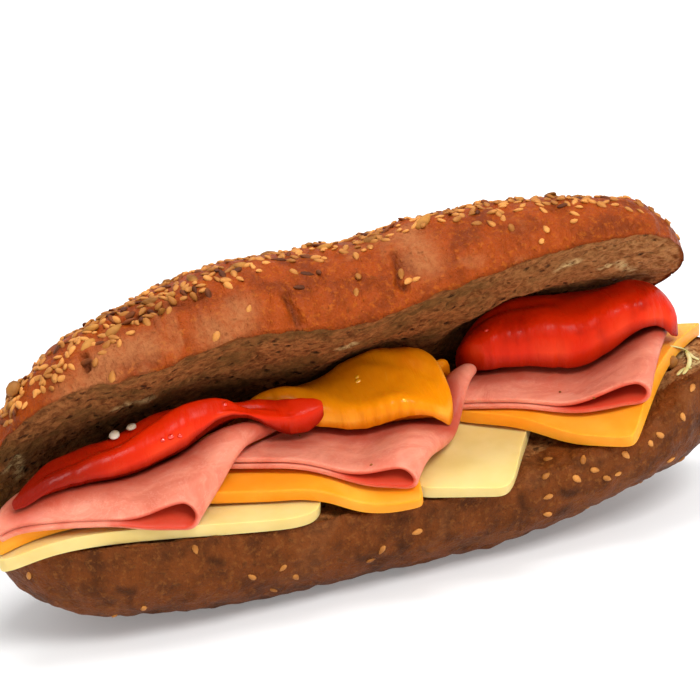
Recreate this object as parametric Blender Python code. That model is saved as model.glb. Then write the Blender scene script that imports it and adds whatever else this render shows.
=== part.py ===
"""Filled bread roll: two seeded bread halves with cheese slices, folded ham and roasted pepper between them.

The roll lies along X and opens towards -Y. Its flat underside rests on Z = 0, and the origin is the
middle of that underside. Sizes below are millimetres, and UNIT turns them to metres.
"""
import math
import random

import bmesh
import bpy
import numpy as np
from mathutils import Matrix, Vector, noise

UNIT = 0.001
GAP = 0.35
TIP_SIZE = 0.05

# Bottom half of the roll: rows of X and a height
BOTTOM_ENDS = (-122.0, 116.0)
BOTTOM_HALF_WIDTH = 35.5
BOTTOM_END_REACH = (50.0, 50.0)
BOTTOM_FRONT_RIM = ((-118, 36), (-90, 33.5), (-60, 30.5), (-25, 28.5), (15, 28), (55, 31), (82, 37.5), (118, 42.5))
BOTTOM_BACK_RIM = ((-118, 28), (-95, 31), (-65, 37), (0, 42), (60, 41), (118, 41.5))
BOTTOM_LIFT = ((-122, 26), (-115, 16), (-106, 10), (-95, 5.5), (-80, 3), (-62, 0.8), (-50, 0), (25, 0), (38, 1.5),
               (50, 3.5), (62, 6.5), (78, 10.5), (95, 14.5), (107, 22), (116, 33))
BASE_PRESS = 1.05

# Top half of the roll, open at the front
TOP_ENDS = (-127.0, 102.0)
TOP_HALF_WIDTH = 34.5
TOP_END_REACH = (52.0, 26.0)
TOP_FRONT_RIM = ((-122, 75), (-110, 80), (-96, 82), (-80, 81.5), (-46, 87), (-14, 84.5), (20, 90.5), (50, 95),
                 (80, 95), (102, 90))
TOP_BACK_RIM = ((-122, 28.5), (-95, 32.5), (-65, 39), (-40, 41.5), (0, 42.8), (40, 44), (70, 47), (102, 51))
TOP_DOME = ((-122, 11), (-112, 16), (-85, 26.5), (-40, 33.5), (0, 33.5), (25, 33), (45, 30), (75, 22.5), (102, 19))

CHEESE_THICK = 4.0
HAM_THICK = 1.8

# How far each kind of piece bridges over dips, and how softly it rises over bumps, in grid cells
CHEESE_DRAPE = (9, 4)
HAM_DRAPE = (10, 5)
PEPPER_DRAPE = (5, 2)
PEPPER_BACK = (11, 2)

# Plan corners of each cheese slice: front left, front right, back right, back left
CHEESE_SLICES = (
    ("cheese_pale_left", "pale cheese", ((-125, -29), (-29, -42), (-20, 24), (-102, 17))),
    ("cheese_pale_middle", "pale cheese", ((-2, -34), (29, -42), (66, 20), (20, 25))),
    ("cheese_orange_left", "orange cheese", ((-123, -27), (-84, -28), (-78, 12), (-100, 10))),
    ("cheese_orange_middle", "orange cheese", ((-76, -23), (-1, -44), (12, 25), (-56, 18))),
    ("cheese_orange_right", "orange cheese", ((18, -2), (67, -41), (117, 11), (74, 24))),
)

# Plan corners of each folded ham slice, whose crease is its right side, and the height of its loop
HAM_SLICES = (
    ("ham_right", ((23, -8), (76, -33), (101, 2), (40, 16)), 6.0),
    ("ham_middle", ((-56, -17), (-3, -42), (32, -3), (-8, 6)), 5.0),
    ("ham_left", ((-121, -29), (-67, -38), (-29, -4), (-112, -8)), 6.5),
)

# Pieces of roasted pepper: rows of middle X, middle Y, half width and thickness
PEPPERS = (
    ("pepper_yellow_back", "yellow pepper", ((-6, 11, 7, 6), (12, 10, 10, 8), (31, 8, 10, 10))),
    ("pepper_yellow", "yellow pepper", ((-51, 2, 5, 4), (-24, 2, 11, 10), (0, 0, 14, 11), (19, -4, 14, 7))),
    ("pepper_red_left", "red pepper",
     ((-116, -26, 4, 3), (-97, -18, 8, 7), (-66, -11, 11, 10), (-42, -15.5, 7, 6), (-21, -14, 4, 4))),
    ("pepper_red_right", "red pepper",
     ((31, 9, 10, 12), (50, 8, 13, 17), (78, 3, 15, 18), (101, -1, 10, 14))),
)

# Points round a section: crust, then cut face
BOTTOM_RING = (15, 7)
TOP_RING = (17, 9)

TOP_SEEDS, BOTTOM_SEEDS = 66, 22
SEED_SIZE = (3.4, 2.2, 1.5)
SEED_SINK = 0.35
SEED_SPACING = 6.5

# Grid of heights over the bottom half that the fillings are laid on, and how far they may hang over it
OVERHANG = 14.0
SAG = 0.05
GRID_X = np.arange(-140.0, 141.0, 1.0)
GRID_Y = np.arange(-62.0, 56.0, 1.0)

COLOURS = {
    "top crust": (0.45, 0.13, 0.03, 0.5),
    "bottom crust": (0.18, 0.05, 0.015, 0.55),
    "pale cheese": (0.85, 0.68, 0.27, 0.4),
    "orange cheese": (0.95, 0.38, 0.03, 0.4),
    "ham": (0.82, 0.26, 0.17, 0.35),
    "red pepper": (0.70, 0.03, 0.01, 0.2),
    "yellow pepper": (0.85, 0.32, 0.01, 0.2),
}


def along(x, rows):
    """Smooth curve through rows of (x, value), read at x."""
    knots, values = np.array(rows, float).T
    slopes = np.gradient(values, knots)
    x = np.clip(np.asarray(x, float), knots[0], knots[-1])
    i = np.clip(np.searchsorted(knots, x) - 1, 0, len(knots) - 2)
    step = knots[i + 1] - knots[i]
    t = (x - knots[i]) / step
    start = (1 + 2 * t) * (1 - t) ** 2 * values[i] + t * (1 - t) ** 2 * step * slopes[i]
    end = t * t * (3 - 2 * t) * values[i + 1] + t * t * (t - 1) * step * slopes[i + 1]
    return start + end


def taper(x, ends, reach, power=2.2):
    """0 at each tip and 1 along the middle, with rounded ends."""
    left = np.clip((x - ends[0]) / reach[0], 0, 1)
    right = np.clip((ends[1] - x) / reach[1], 0, 1)
    rounded = [(1 - (1 - side) ** power) ** (1 / power) for side in (left, right)]
    return rounded[0] * rounded[1]


def stations(ends, count, crowding=0.72):
    """X positions that crowd together towards both tips."""
    t = np.linspace(-1, 1, count)
    half = (ends[1] - ends[0]) / 2
    return (ends[0] + ends[1]) / 2 + half * ((1 - crowding) * t + crowding * np.sin(t * math.pi / 2))


def lumps(x, y, z, size, depth):
    """Smooth uneven height of a given size and depth."""
    return depth * noise.noise(Vector((x, y, z)) / size)


def bottom_face(x, y):
    """Height of the bottom half's cut face."""
    front, back = along(x, BOTTOM_FRONT_RIM), along(x, BOTTOM_BACK_RIM)
    return front + (back - front) * (y + BOTTOM_HALF_WIDTH) / (2 * BOTTOM_HALF_WIDTH)


def top_face(x, y):
    """Height of the top half's cut face."""
    front, back = along(x, TOP_FRONT_RIM), along(x, TOP_BACK_RIM)
    return front + (back - front) * (y + TOP_HALF_WIDTH) / (2 * TOP_HALF_WIDTH)


def make_object(name, points, faces, colour):
    """Mesh object from millimetre points, with outward faces and its own material."""
    mesh = bpy.data.meshes.new(name)
    mesh.from_pydata([tuple(p) for p in np.asarray(points) * UNIT], [], [tuple(map(int, f)) for f in faces])
    work = bmesh.new()
    work.from_mesh(mesh)
    bmesh.ops.recalc_face_normals(work, faces=work.faces[:])
    work.to_mesh(mesh)
    work.free()
    mesh.shade_smooth()
    mesh.set_sharp_from_angle(angle=math.radians(50))
    red, green, blue, roughness = COLOURS[colour]
    material = bpy.data.materials.new(name)
    material.use_nodes = True
    shader = material.node_tree.nodes["Principled BSDF"]
    shader.inputs["Base Color"].default_value = (red, green, blue, 1)
    shader.inputs["Roughness"].default_value = roughness
    shader.inputs["Metallic"].default_value = 0.0
    mesh.materials.append(material)
    obj = bpy.data.objects.new(name, mesh)
    bpy.context.scene.collection.objects.link(obj)
    return obj


def loft(rings):
    """Points and faces of a closed body through rings of equal length, fanned shut at both tips."""
    count, size = len(rings), len(rings[0])
    points = np.concatenate([np.concatenate(rings), [np.mean(rings[0], 0), np.mean(rings[-1], 0)]])
    faces = []
    for i in range(count - 1):
        for j in range(size):
            k = (j + 1) % size
            faces.append((i * size + j, i * size + k, (i + 1) * size + k, (i + 1) * size + j))
    for tip, ring in ((count * size, 0), (count * size + 1, (count - 1) * size)):
        for j in range(size):
            faces.append((tip, ring + j, ring + (j + 1) % size))
    return points, faces


class Pile:
    """Heights of everything laid so far, on a grid seen from above."""

    def __init__(self):
        x, y = np.meshgrid(GRID_X, GRID_Y, indexing="ij")
        outside = np.maximum(np.abs(y) - BOTTOM_HALF_WIDTH * taper(x, BOTTOM_ENDS, BOTTOM_END_REACH), 0)
        outside = np.minimum(outside, OVERHANG)
        self.height = bottom_face(x, y) - SAG * outside ** 2 - 0.18 * outside

    @staticmethod
    def samples(points, faces):
        """Points spread over every triangle, with the grid cell that each falls in."""
        corners = np.array([(f[0], f[k], f[k + 1]) for f in faces for k in range(1, len(f) - 1)])
        a, b, c = (np.asarray(points)[corners[:, k]] for k in range(3))
        steps = 14
        weights = np.array([(i, j, steps - i - j) for i in range(steps + 1) for j in range(steps + 1 - i)])
        weights = weights / steps
        spread = sum(weights[None, :, k, None] * v[:, None, :] for k, v in enumerate((a, b, c)))
        spread = spread.reshape(-1, 3)
        cells = np.rint(spread[:, :2] - (GRID_X[0], GRID_Y[0])).astype(int)
        cells = np.clip(cells, 0, (len(GRID_X) - 1, len(GRID_Y) - 1))
        return spread[:, 2], cells

    def add(self, points, faces):
        z, cells = self.samples(points, faces)
        np.maximum.at(self.height, (cells[:, 0], cells[:, 1]), z)

    @staticmethod
    def spread(field, reach):
        """Highest value within reach of each cell."""
        result = field
        for _ in range(reach):
            wide = np.pad(result, 1, mode="edge")
            result = np.maximum.reduce([wide[1:-1, 1:-1], wide[2:, 1:-1], wide[:-2, 1:-1], wide[1:-1, 2:],
                                        wide[1:-1, :-2]])
        return result

    @staticmethod
    def blur(field, reach):
        """Smooth the field with a soft kernel of about this reach."""
        offsets = np.arange(-2 * reach, 2 * reach + 1)
        kernel = np.exp(-0.5 * (offsets / reach) ** 2)
        kernel /= kernel.sum()
        for axis in (0, 1):
            edge = np.moveaxis(np.pad(field, 2 * reach, mode="edge"), axis, 0)
            rows = len(edge) - 4 * reach
            field = sum(w * edge[k:k + rows] for k, w in enumerate(kernel))
            field = np.moveaxis(field, 0, axis)
            trim = [slice(None), slice(None)]
            trim[1 - axis] = slice(2 * reach, -2 * reach)
            field = field[tuple(trim)]
        return field

    def drape(self, reach, soften):
        """Underside of a sheet of this stiffness laid on the pile."""
        smooth = self.blur(self.height, reach)
        lift = np.maximum(self.height - smooth, 0)
        return smooth + self.blur(self.spread(lift, soften + 1), soften) + GAP

    @staticmethod
    def read(field, x, y):
        """Field at any point, between its cells."""
        u = np.clip(np.asarray(x) - GRID_X[0], 0, len(GRID_X) - 1.001)
        v = np.clip(np.asarray(y) - GRID_Y[0], 0, len(GRID_Y) - 1.001)
        i, j = u.astype(int), v.astype(int)
        u, v = u - i, v - j
        low = field[i, j] * (1 - u) + field[i + 1, j] * u
        high = field[i, j + 1] * (1 - u) + field[i + 1, j + 1] * u
        return low * (1 - v) + high * v

    def clear(self, points, faces):
        """Raise the points just enough that the faces stay off the pile."""
        points = np.array(points, float)
        for _ in range(3):
            z, cells = self.samples(points, faces)
            lowest = np.full(self.height.shape, 1e6)
            np.minimum.at(lowest, (cells[:, 0], cells[:, 1]), z)
            short = np.where(lowest < 1e5, np.maximum(self.height + GAP - lowest, 0), 0)
            if short.max() < 0.01:
                break
            lift = self.blur(self.spread(short, 8), 2)
            points[:, 2] += self.read(np.maximum(lift, short), points[:, 0], points[:, 1])
        return points


def plate_faces(columns, rows):
    """Faces of a closed plate whose underside grid comes first and upper grid second."""
    faces = []
    count = columns * rows
    index = np.arange(2 * count).reshape(2, columns, rows)
    for i in range(columns - 1):
        for j in range(rows - 1):
            low = (index[0, i, j], index[0, i, j + 1], index[0, i + 1, j + 1], index[0, i + 1, j])
            faces.append(low)
            faces.append(tuple(v + count for v in reversed(low)))
    edge = [(i, 0) for i in range(columns)] + [(columns - 1, j) for j in range(1, rows)]
    edge += [(i, rows - 1) for i in range(columns - 2, -1, -1)] + [(0, j) for j in range(rows - 2, 0, -1)]
    for a, b in zip(edge, edge[1:] + edge[:1]):
        faces.append((index[0][a], index[0][b], index[1][b], index[1][a]))
    return faces


def rounded_square(columns, rows, power):
    """Grid over a square from -1 to 1 whose corners are rounded."""
    u, v = np.meshgrid(np.linspace(-1, 1, columns), np.linspace(-1, 1, rows), indexing="ij")
    widest = np.maximum(np.abs(u), np.abs(v))
    shrink = widest / np.maximum((np.abs(u) ** power + np.abs(v) ** power) ** (1 / power), 1e-9)
    shrink = np.where(widest < 1e-9, 1, shrink)
    return u * shrink, v * shrink


def in_quad(corners, u, v):
    """Plan position in a four-cornered slice, with u and v from 0 to 1."""
    front_left, front_right, back_right, back_left = (np.array(c, float) for c in corners)
    u, v = u[..., None], v[..., None]
    return (front_left * (1 - u) + front_right * u) * (1 - v) + (back_left * (1 - u) + back_right * u) * v


def normals_of(grid):
    """Unit normals of a grid of points, facing up."""
    across = np.cross(np.gradient(grid, axis=0), np.gradient(grid, axis=1))
    across /= np.linalg.norm(across, axis=-1, keepdims=True)
    return across


def cheese_slice(pile, name, colour, corners):
    """Square slice of cheese that bends over what lies under it."""
    columns, rows = 13, 10
    u, v = rounded_square(columns, rows, 9)
    plan = in_quad(corners, (u + 1) / 2, (v + 1) / 2)
    under = pile.drape(*CHEESE_DRAPE)
    low = np.dstack([plan, pile.read(under, plan[..., 0], plan[..., 1])])
    high = low + CHEESE_THICK * normals_of(low)
    points = np.concatenate([low.reshape(-1, 3), high.reshape(-1, 3)])
    faces = plate_faces(columns, rows)
    points = pile.clear(points, faces)
    pile.add(points, faces)
    return make_object(name, points, faces, colour)


def ham_fold(pile, name, corners, loop):
    """Slice of ham folded over on itself, with a round loop along its crease."""
    turns, rows = 25, 8
    q = np.linspace(-1, 1, turns)
    out = np.abs(q) ** 1.7
    depth = np.linspace(0, 1, rows)
    across, back = np.meshgrid(out, depth, indexing="ij")
    plan = in_quad(corners, 1 - across, back)
    inside = np.clip(across / 0.42, 0, 1)
    opening = 2.9 * np.sqrt(inside) * (1 - inside) ** 1.3 * loop * (1 - 0.6 * back)
    apart = (HAM_THICK + 0.6) * np.sqrt(np.clip(across / 0.04, 0, 1)) + opening
    widest = apart.max(axis=0, keepdims=True)
    near_crease = np.exp(-across / 0.08)
    base = pile.read(pile.drape(*HAM_DRAPE), plan[..., 0], plan[..., 1]) + HAM_THICK / 2
    base = base + 0.3 * widest * near_crease
    height = base + np.where(q[:, None] > 0, apart, 0)
    middle = np.dstack([plan, height])
    side = normals_of(middle) * HAM_THICK / 2
    points = np.concatenate([(middle + side).reshape(-1, 3), (middle - side).reshape(-1, 3)])
    faces = plate_faces(turns, rows)
    points = pile.clear(points, faces)
    pile.add(points, faces)
    return make_object(name, points, faces, "ham")


def pepper_strip(pile, name, colour, rows_of):
    """Soft strip of roasted pepper, thick along its middle and thin at its edges."""
    columns, rows = 15, 8
    u, v = rounded_square(columns, rows, 3.2)
    table = np.array(rows_of, float)
    reach = np.linspace(-1, 1, len(table))
    row = [along(u, np.column_stack([reach, table[:, k]])) for k in range(4)]
    x, y = row[0], row[1] + v * row[2]
    radius = np.clip(np.maximum(np.abs(np.linspace(-1, 1, columns))[:, None], np.abs(np.linspace(-1, 1, rows))), 0, 1)
    thick = row[3] * (0.3 + 0.7 * np.sqrt(1 - radius ** 3))
    low = np.dstack([x, y, pile.read(pile.drape(*PEPPER_DRAPE), x, y)])
    smooth = pile.read(pile.drape(*PEPPER_BACK), x, y)
    high = np.dstack([x, y, np.maximum(low[..., 2] + 0.45 * thick, 0.4 * low[..., 2] + 0.6 * smooth + thick)])
    points = np.concatenate([low.reshape(-1, 3), high.reshape(-1, 3)])
    faces = plate_faces(columns, rows)
    points = pile.clear(points, faces)
    pile.add(points, faces)
    return make_object(name, points, faces, colour)


def bottom_ring(x):
    """Section of the bottom half: crust from the front rim under to the back rim, then the cut face."""
    crust_points, face_points = BOTTOM_RING
    half = BOTTOM_HALF_WIDTH * max(float(taper(x, BOTTOM_ENDS, BOTTOM_END_REACH)), TIP_SIZE)
    lift = max(float(along(x, BOTTOM_LIFT)), 0.0)
    ring = []
    for angle in np.linspace(0, math.pi, crust_points):
        y = -half * math.copysign(abs(math.cos(angle)) ** 0.86, math.cos(angle))
        rim = float(bottom_face(x, y))
        z = rim - (rim - lift) * BASE_PRESS * math.sin(angle) ** 0.82
        swell = 1 + 0.035 * math.sin(2 * min(angle, math.pi - angle))
        y = y * swell + lumps(x, y, z, 17, 0.5)
        ring.append((x, y, max(z, lift)))
    for t in np.linspace(1, -1, face_points + 2)[1:-1]:
        ring.append((x, half * t, float(bottom_face(x, half * t)) - 0.4 + lumps(x, half * t, 5, 9, 0.7)))
    return np.array(ring)


def top_ring(x):
    """Section of the top half: crust from the front rim over to the back rim, then the cut face."""
    crust_points, face_points = TOP_RING
    size = max(float(taper(x, TOP_ENDS, TOP_END_REACH, 1.9)), TIP_SIZE)
    half = TOP_HALF_WIDTH * size
    rise = float(along(x, TOP_DOME)) * size ** 0.9
    slope = math.atan2(float(top_face(x, -half) - top_face(x, half)), 2 * half)
    outward = Vector((0, math.sin(slope), math.cos(slope)))
    ring = []
    for angle in np.linspace(0, math.pi, crust_points):
        y = -half * math.copysign(abs(math.cos(angle)) ** 0.85, math.cos(angle))
        point = Vector((x, y, float(top_face(x, y)))) + outward * rise * math.sin(angle) ** 0.85
        point += outward * lumps(x, y, 3, 15, 0.9) * math.sin(angle)
        ring.append(tuple(point))
    for t in np.linspace(1, -1, face_points + 2)[1:-1]:
        ring.append((x, half * t, float(top_face(x, half * t)) + 0.4 + lumps(x, half * t, 9, 9, 0.8)))
    return np.array(ring)


def seed_spots(obj, wanted, choose, rng):
    """Spread points over the crust of a bread half: rows of place and outward direction."""
    spots = []
    polygons = [p for p in obj.data.polygons if choose(p.center / UNIT, p.normal)]
    weights = [p.area for p in polygons]
    for _ in range(wanted * 60):
        if len(spots) == wanted:
            break
        face = rng.choices(polygons, weights)[0]
        corners = [obj.data.vertices[i].co / UNIT for i in face.vertices]
        a, b = rng.random(), rng.random()
        if len(corners) == 4:
            low = corners[0].lerp(corners[1], a)
            place = low.lerp(corners[3].lerp(corners[2], a), b)
        else:
            place = (corners[0] + corners[1] + corners[2]) / 3
        if all((place - other).length > SEED_SPACING for other, _ in spots):
            spots.append((place, face.normal.copy()))
    return spots


def fuse_seeds(obj, spots, rng):
    """Press seeds into the crust and join them to it as one body."""
    group = bpy.data.collections.new("seeds")
    bpy.context.scene.collection.children.link(group)
    for number, (place, normal) in enumerate(spots):
        work = bmesh.new()
        bmesh.ops.create_icosphere(work, subdivisions=1, radius=0.5)
        long_size, wide, high = (s * rng.uniform(0.9, 1.12) for s in SEED_SIZE)
        for vert in work.verts:
            narrow = 1 - 0.45 * max(vert.co.x, 0) * 2
            vert.co = Vector((vert.co.x * long_size, vert.co.y * wide * narrow, vert.co.z * high))
        turn = normal.to_track_quat("Z", "Y").to_matrix().to_4x4()
        spin = Matrix.Rotation(rng.uniform(0, 2 * math.pi), 4, "Z")
        lifted = place + normal * high * (0.5 - SEED_SINK)
        work.transform(Matrix.Scale(UNIT, 4) @ Matrix.Translation(lifted) @ turn @ spin)
        mesh = bpy.data.meshes.new(f"seed_{number}")
        work.to_mesh(mesh)
        work.free()
        seed = bpy.data.objects.new(mesh.name, mesh)
        group.objects.link(seed)
    union = obj.modifiers.new("seeds", "BOOLEAN")
    union.operation = "UNION"
    union.operand_type = "COLLECTION"
    union.collection = group
    union.solver = "MANIFOLD"
    bpy.context.view_layer.update()
    graph = bpy.context.evaluated_depsgraph_get()
    fused = bpy.data.meshes.new_from_object(obj.evaluated_get(graph), depsgraph=graph)
    obj.modifiers.clear()
    obj.data = fused
    fused.name = obj.name
    for seed in list(group.objects):
        bpy.data.objects.remove(seed)
    bpy.data.collections.remove(group)


def main():
    for old in list(bpy.data.objects):
        bpy.data.objects.remove(old)
    rng = random.Random(5)

    points, faces = loft([bottom_ring(x) for x in stations(BOTTOM_ENDS, 32)])
    bottom = make_object("bottom_bun", points, faces, "bottom crust")
    pile = Pile()
    pile.add(points, faces)

    for name, colour, corners in CHEESE_SLICES:
        cheese_slice(pile, name, colour, corners)
    for name, corners, loop in HAM_SLICES:
        ham_fold(pile, name, corners, loop)
    for name, colour, rows_of in PEPPERS:
        pepper_strip(pile, name, colour, rows_of)

    points, faces = loft([top_ring(x) for x in stations(TOP_ENDS, 34)])
    on_face = np.zeros(len(points), bool)
    on_face[:-2] = np.arange(len(points) - 2) % sum(TOP_RING) >= TOP_RING[0]
    points[on_face] = pile.clear(points, faces)[on_face]
    top = make_object("top_bun", points, faces, "top crust")

    def on_top(place, normal):
        return normal.z > 0.25 and place.z > float(top_face(place.x, place.y)) + 6

    def on_side(place, normal):
        return abs(normal.z) < 0.85 and 8 < place.z < float(bottom_face(place.x, place.y)) - 5

    fuse_seeds(top, seed_spots(top, TOP_SEEDS, on_top, rng), rng)
    fuse_seeds(bottom, seed_spots(bottom, BOTTOM_SEEDS, on_side, rng), rng)


main()
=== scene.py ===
# %% [markdown]
# # A filled bread roll
#
# A long brown roll lies on a white table, cut lengthwise and open towards us. Between its halves are slices
# of pale and orange cheese, folded ham and roasted peppers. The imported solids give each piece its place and
# rough form. Here every piece is modelled again at full detail, in the same frame and in metres.

import math
import random

import bmesh
import bpy
import numpy as np
from mathutils import Matrix, Vector, noise
from mathutils.bvhtree import BVHTree
from mathutils.kdtree import KDTree


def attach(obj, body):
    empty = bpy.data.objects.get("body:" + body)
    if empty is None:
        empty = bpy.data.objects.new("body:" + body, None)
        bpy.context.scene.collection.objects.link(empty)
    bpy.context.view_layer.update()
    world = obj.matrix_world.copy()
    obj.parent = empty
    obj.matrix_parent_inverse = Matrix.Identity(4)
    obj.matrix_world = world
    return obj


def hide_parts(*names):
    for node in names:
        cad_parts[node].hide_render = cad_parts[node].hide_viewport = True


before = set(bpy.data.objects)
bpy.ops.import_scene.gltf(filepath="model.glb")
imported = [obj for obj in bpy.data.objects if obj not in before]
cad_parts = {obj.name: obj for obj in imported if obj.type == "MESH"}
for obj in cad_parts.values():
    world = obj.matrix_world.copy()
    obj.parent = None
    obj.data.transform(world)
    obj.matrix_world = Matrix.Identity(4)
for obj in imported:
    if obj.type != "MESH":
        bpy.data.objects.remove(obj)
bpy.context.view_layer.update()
print("solids:", ", ".join(sorted(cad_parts)))

# %% [markdown]
# ## Small tools
#
# Sizes below are typed in millimetres, the unit that a cook or a baker would measure in, and turned to
# metres only when a mesh is made. Colours are typed as the hex values that a colour picker shows. A shader
# works with linear light, so one function converts them.

# %% Colours and shader nodes
MM = 0.001


def linear(hex_colour):
    """Linear RGBA of an sRGB colour such as 'C86E32'."""
    channels = [int(hex_colour[k:k + 2], 16) / 255 for k in (0, 2, 4)]
    return tuple(c / 12.92 if c <= 0.04045 else ((c + 0.055) / 1.055) ** 2.4 for c in channels) + (1.0,)


def feed(tree, node, values):
    """Give a node's sockets their values, with a link where the value is another socket."""
    for key, value in values.items():
        if isinstance(value, bpy.types.NodeSocket):
            tree.links.new(value, node.inputs[key])
        else:
            node.inputs[key].default_value = value


def add_node(tree, kind, values=None, **settings):
    """Node of one kind. Settings are its properties, and values go to its sockets."""
    node = tree.nodes.new(kind)
    for name, value in settings.items():
        setattr(node, name, value)
    feed(tree, node, values or {})
    return node


def new_material(name):
    """Empty material with a Principled shader: the material, its tree, the shader and Object coordinates."""
    material = bpy.data.materials.new(name)
    material.use_nodes = True
    tree = material.node_tree
    shader = tree.nodes["Principled BSDF"]
    where = add_node(tree, "ShaderNodeTexCoord").outputs["Object"]
    return material, tree, shader, where


def grain(tree, where, size_mm, detail=2.0, roughness=0.5, stretch=(1, 1, 1), distortion=0.0):
    """Noise from 0 to 1 whose lumps are about size_mm wide."""
    place = add_node(tree, "ShaderNodeMapping", {"Vector": where, "Scale": stretch}).outputs["Vector"]
    noise_node = add_node(tree, "ShaderNodeTexNoise", {
        "Vector": place, "Scale": 1000 / size_mm, "Detail": detail, "Roughness": roughness,
        "Distortion": distortion})
    return noise_node.outputs["Fac"]


def between(tree, value, low, high, start=0.0, end=1.0):
    """Value moved from the range low..high to start..end, with soft ends."""
    return add_node(tree, "ShaderNodeMapRange", {
        "Value": value, "From Min": low, "From Max": high, "To Min": start, "To Max": end},
        interpolation_type="SMOOTHSTEP").outputs["Result"]


def mix(tree, share, first, second):
    """Colour mixed from the first to the second by share."""
    first, second = (linear(colour) if isinstance(colour, str) else colour for colour in (first, second))
    return add_node(tree, "ShaderNodeMix", {0: share, 6: first, 7: second}, data_type="RGBA").outputs[2]


def calculate(tree, operation, first, second=0.0):
    """One sum on two values."""
    return add_node(tree, "ShaderNodeMath", {0: first, 1: second}, operation=operation).outputs[0]


def painted(tree, name):
    """Value painted on the piece's own points under this name."""
    return add_node(tree, "ShaderNodeAttribute", attribute_name=name).outputs["Fac"]


def relief(tree, height, depth_mm, under=None):
    """Bump of a height field, in millimetres, on top of another bump."""
    values = {"Height": height, "Distance": depth_mm * MM, "Strength": 1.0}
    if under is not None:
        values["Normal"] = under
    return add_node(tree, "ShaderNodeBump", values).outputs["Normal"]


print("tools ready")

# %% [markdown]
# ## Table, light and camera
#
# The roll was shot on a white sweep in a light tent: bright from all sides, strongest from high in front, so
# that light falls far into the open roll, with a short soft shadow under it. A large soft key light in front,
# a weaker one above and a white world give that. The camera is long, low and slightly rolled, as in the
# photograph.

# %% Floor and world
floor_material, tree, shader, where = new_material("white paper sweep")
# Matte paper without gloss. It is a light grey, so that it comes out white under this light and yet sends
# little of it back up at the bread. In a studio the sweep behind the food has lamps of its own; their light
# is painted onto the paper as an emission, faint under the roll and growing with its distance from it
away = add_node(tree, "ShaderNodeVectorMath", {0: where}, operation="LENGTH").outputs["Value"]
feed(tree, shader, {
    "Base Color": linear("DEDEDE"), "Roughness": 0.9, "Specular IOR Level": 0.1,
    "Emission Color": linear("FFFFFF"), "Emission Strength": between(tree, away, 0.15, 0.8, 0.2, 0.65),
    "Normal": relief(tree, grain(tree, where, 0.8), 0.01)})

FLOOR_REACH = 4.0
floor_mesh = bpy.data.meshes.new("floor")
floor_corners = [(x * FLOOR_REACH, y * FLOOR_REACH, 0) for x, y in ((-1, -1), (1, -1), (1, 1), (-1, 1))]
floor_mesh.from_pydata(floor_corners, [], [(0, 1, 2, 3)])
floor_mesh.materials.append(floor_material)
floor = bpy.data.objects.new("floor", floor_mesh)
bpy.context.scene.collection.objects.link(floor)

world = bpy.data.worlds.new("light tent")
bpy.context.scene.world = world
world.use_nodes = True
tent = {"Color": linear("FFFFFF"), "Strength": 0.72}
feed(world.node_tree, world.node_tree.nodes["Background"], tent)
bpy.context.scene.view_settings.view_transform = "Standard"
print("floor", 2 * FLOOR_REACH, "m wide under a white world")

# %% Lamps
def soft_lamp(name, place, width, watts):
    """White square area light, in metres, that looks at the middle of the roll."""
    light = bpy.data.lights.new(name, "AREA")
    light.shape = "SQUARE"
    light.size = width
    light.energy = watts
    lamp = bpy.data.objects.new(name, light)
    lamp.location = place
    lamp.rotation_euler = (Vector(ROLL_MIDDLE) - Vector(place)).to_track_quat("-Z", "Y").to_euler()
    bpy.context.scene.collection.objects.link(lamp)


ROLL_MIDDLE = (0, 0, 0.05)
soft_lamp("tent_top", (-0.06, 0.04, 0.82), width=0.40, watts=3.8)
soft_lamp("front_key", (0.20, -0.64, 0.80), width=0.42, watts=7.4)
print("two soft lamps")

# %% Camera
# Angles in degrees and distances in millimetres, found by matching the roll's outline to the photograph
TURN, DOWN, ROLL = 16.0, 17.0, 6.3
LOOK_AT = Vector((-1.7, 16.0, 61.5))
DISTANCE = 607.0
LENS, SENSOR = 100.0, 36.0

turn, down, roll = (math.radians(a) for a in (TURN, DOWN, ROLL))
forward = Vector((math.sin(turn) * math.cos(down), math.cos(turn) * math.cos(down), -math.sin(down)))
level = Vector((math.cos(turn), -math.sin(turn), 0))
rise = level.cross(forward)
right = level * math.cos(roll) - rise * math.sin(roll)
up = level * math.sin(roll) + rise * math.cos(roll)
eye = LOOK_AT - forward * DISTANCE

camera_data = bpy.data.cameras.new("camera")
camera_data.lens = LENS
camera_data.sensor_width = SENSOR
camera = bpy.data.objects.new("camera", camera_data)
turned = Matrix((right, up, -forward)).transposed().to_4x4()
camera.matrix_world = Matrix.Translation(eye * MM) @ turned
bpy.context.scene.collection.objects.link(camera)
bpy.context.scene.camera = camera

PICTURE = 700


def sight_line(px, py):
    """Direction from the camera through a point of the square picture."""
    across = (px / PICTURE - 0.5) * SENSOR / LENS
    above = (0.5 - py / PICTURE) * SENSOR / LENS
    return (forward + right * across + up * above).normalized()


print("camera", [round(v) for v in eye], "mm from the origin")

# %% [markdown]
# ## Curves that shape the bread
#
# A baker's roll has no straight line in it. Its rims, its lift off the table and the height of its dome are
# each a smooth curve along its length, through a few measured heights. Every cross-section is then a ring:
# crust from the front rim round to the back rim, and back along the cut face.

# %% Curves along the roll
def along(x, rows):
    """Smooth curve through rows of (x, value), read at x."""
    knots, values = np.array(rows, float).T
    slopes = np.gradient(values, knots)
    x = np.clip(np.asarray(x, float), knots[0], knots[-1])
    i = np.clip(np.searchsorted(knots, x) - 1, 0, len(knots) - 2)
    step = knots[i + 1] - knots[i]
    t = (x - knots[i]) / step
    start = (1 + 2 * t) * (1 - t) ** 2 * values[i] + t * (1 - t) ** 2 * step * slopes[i]
    end = t * t * (3 - 2 * t) * values[i + 1] + t * t * (t - 1) * step * slopes[i + 1]
    return start + end


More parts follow.
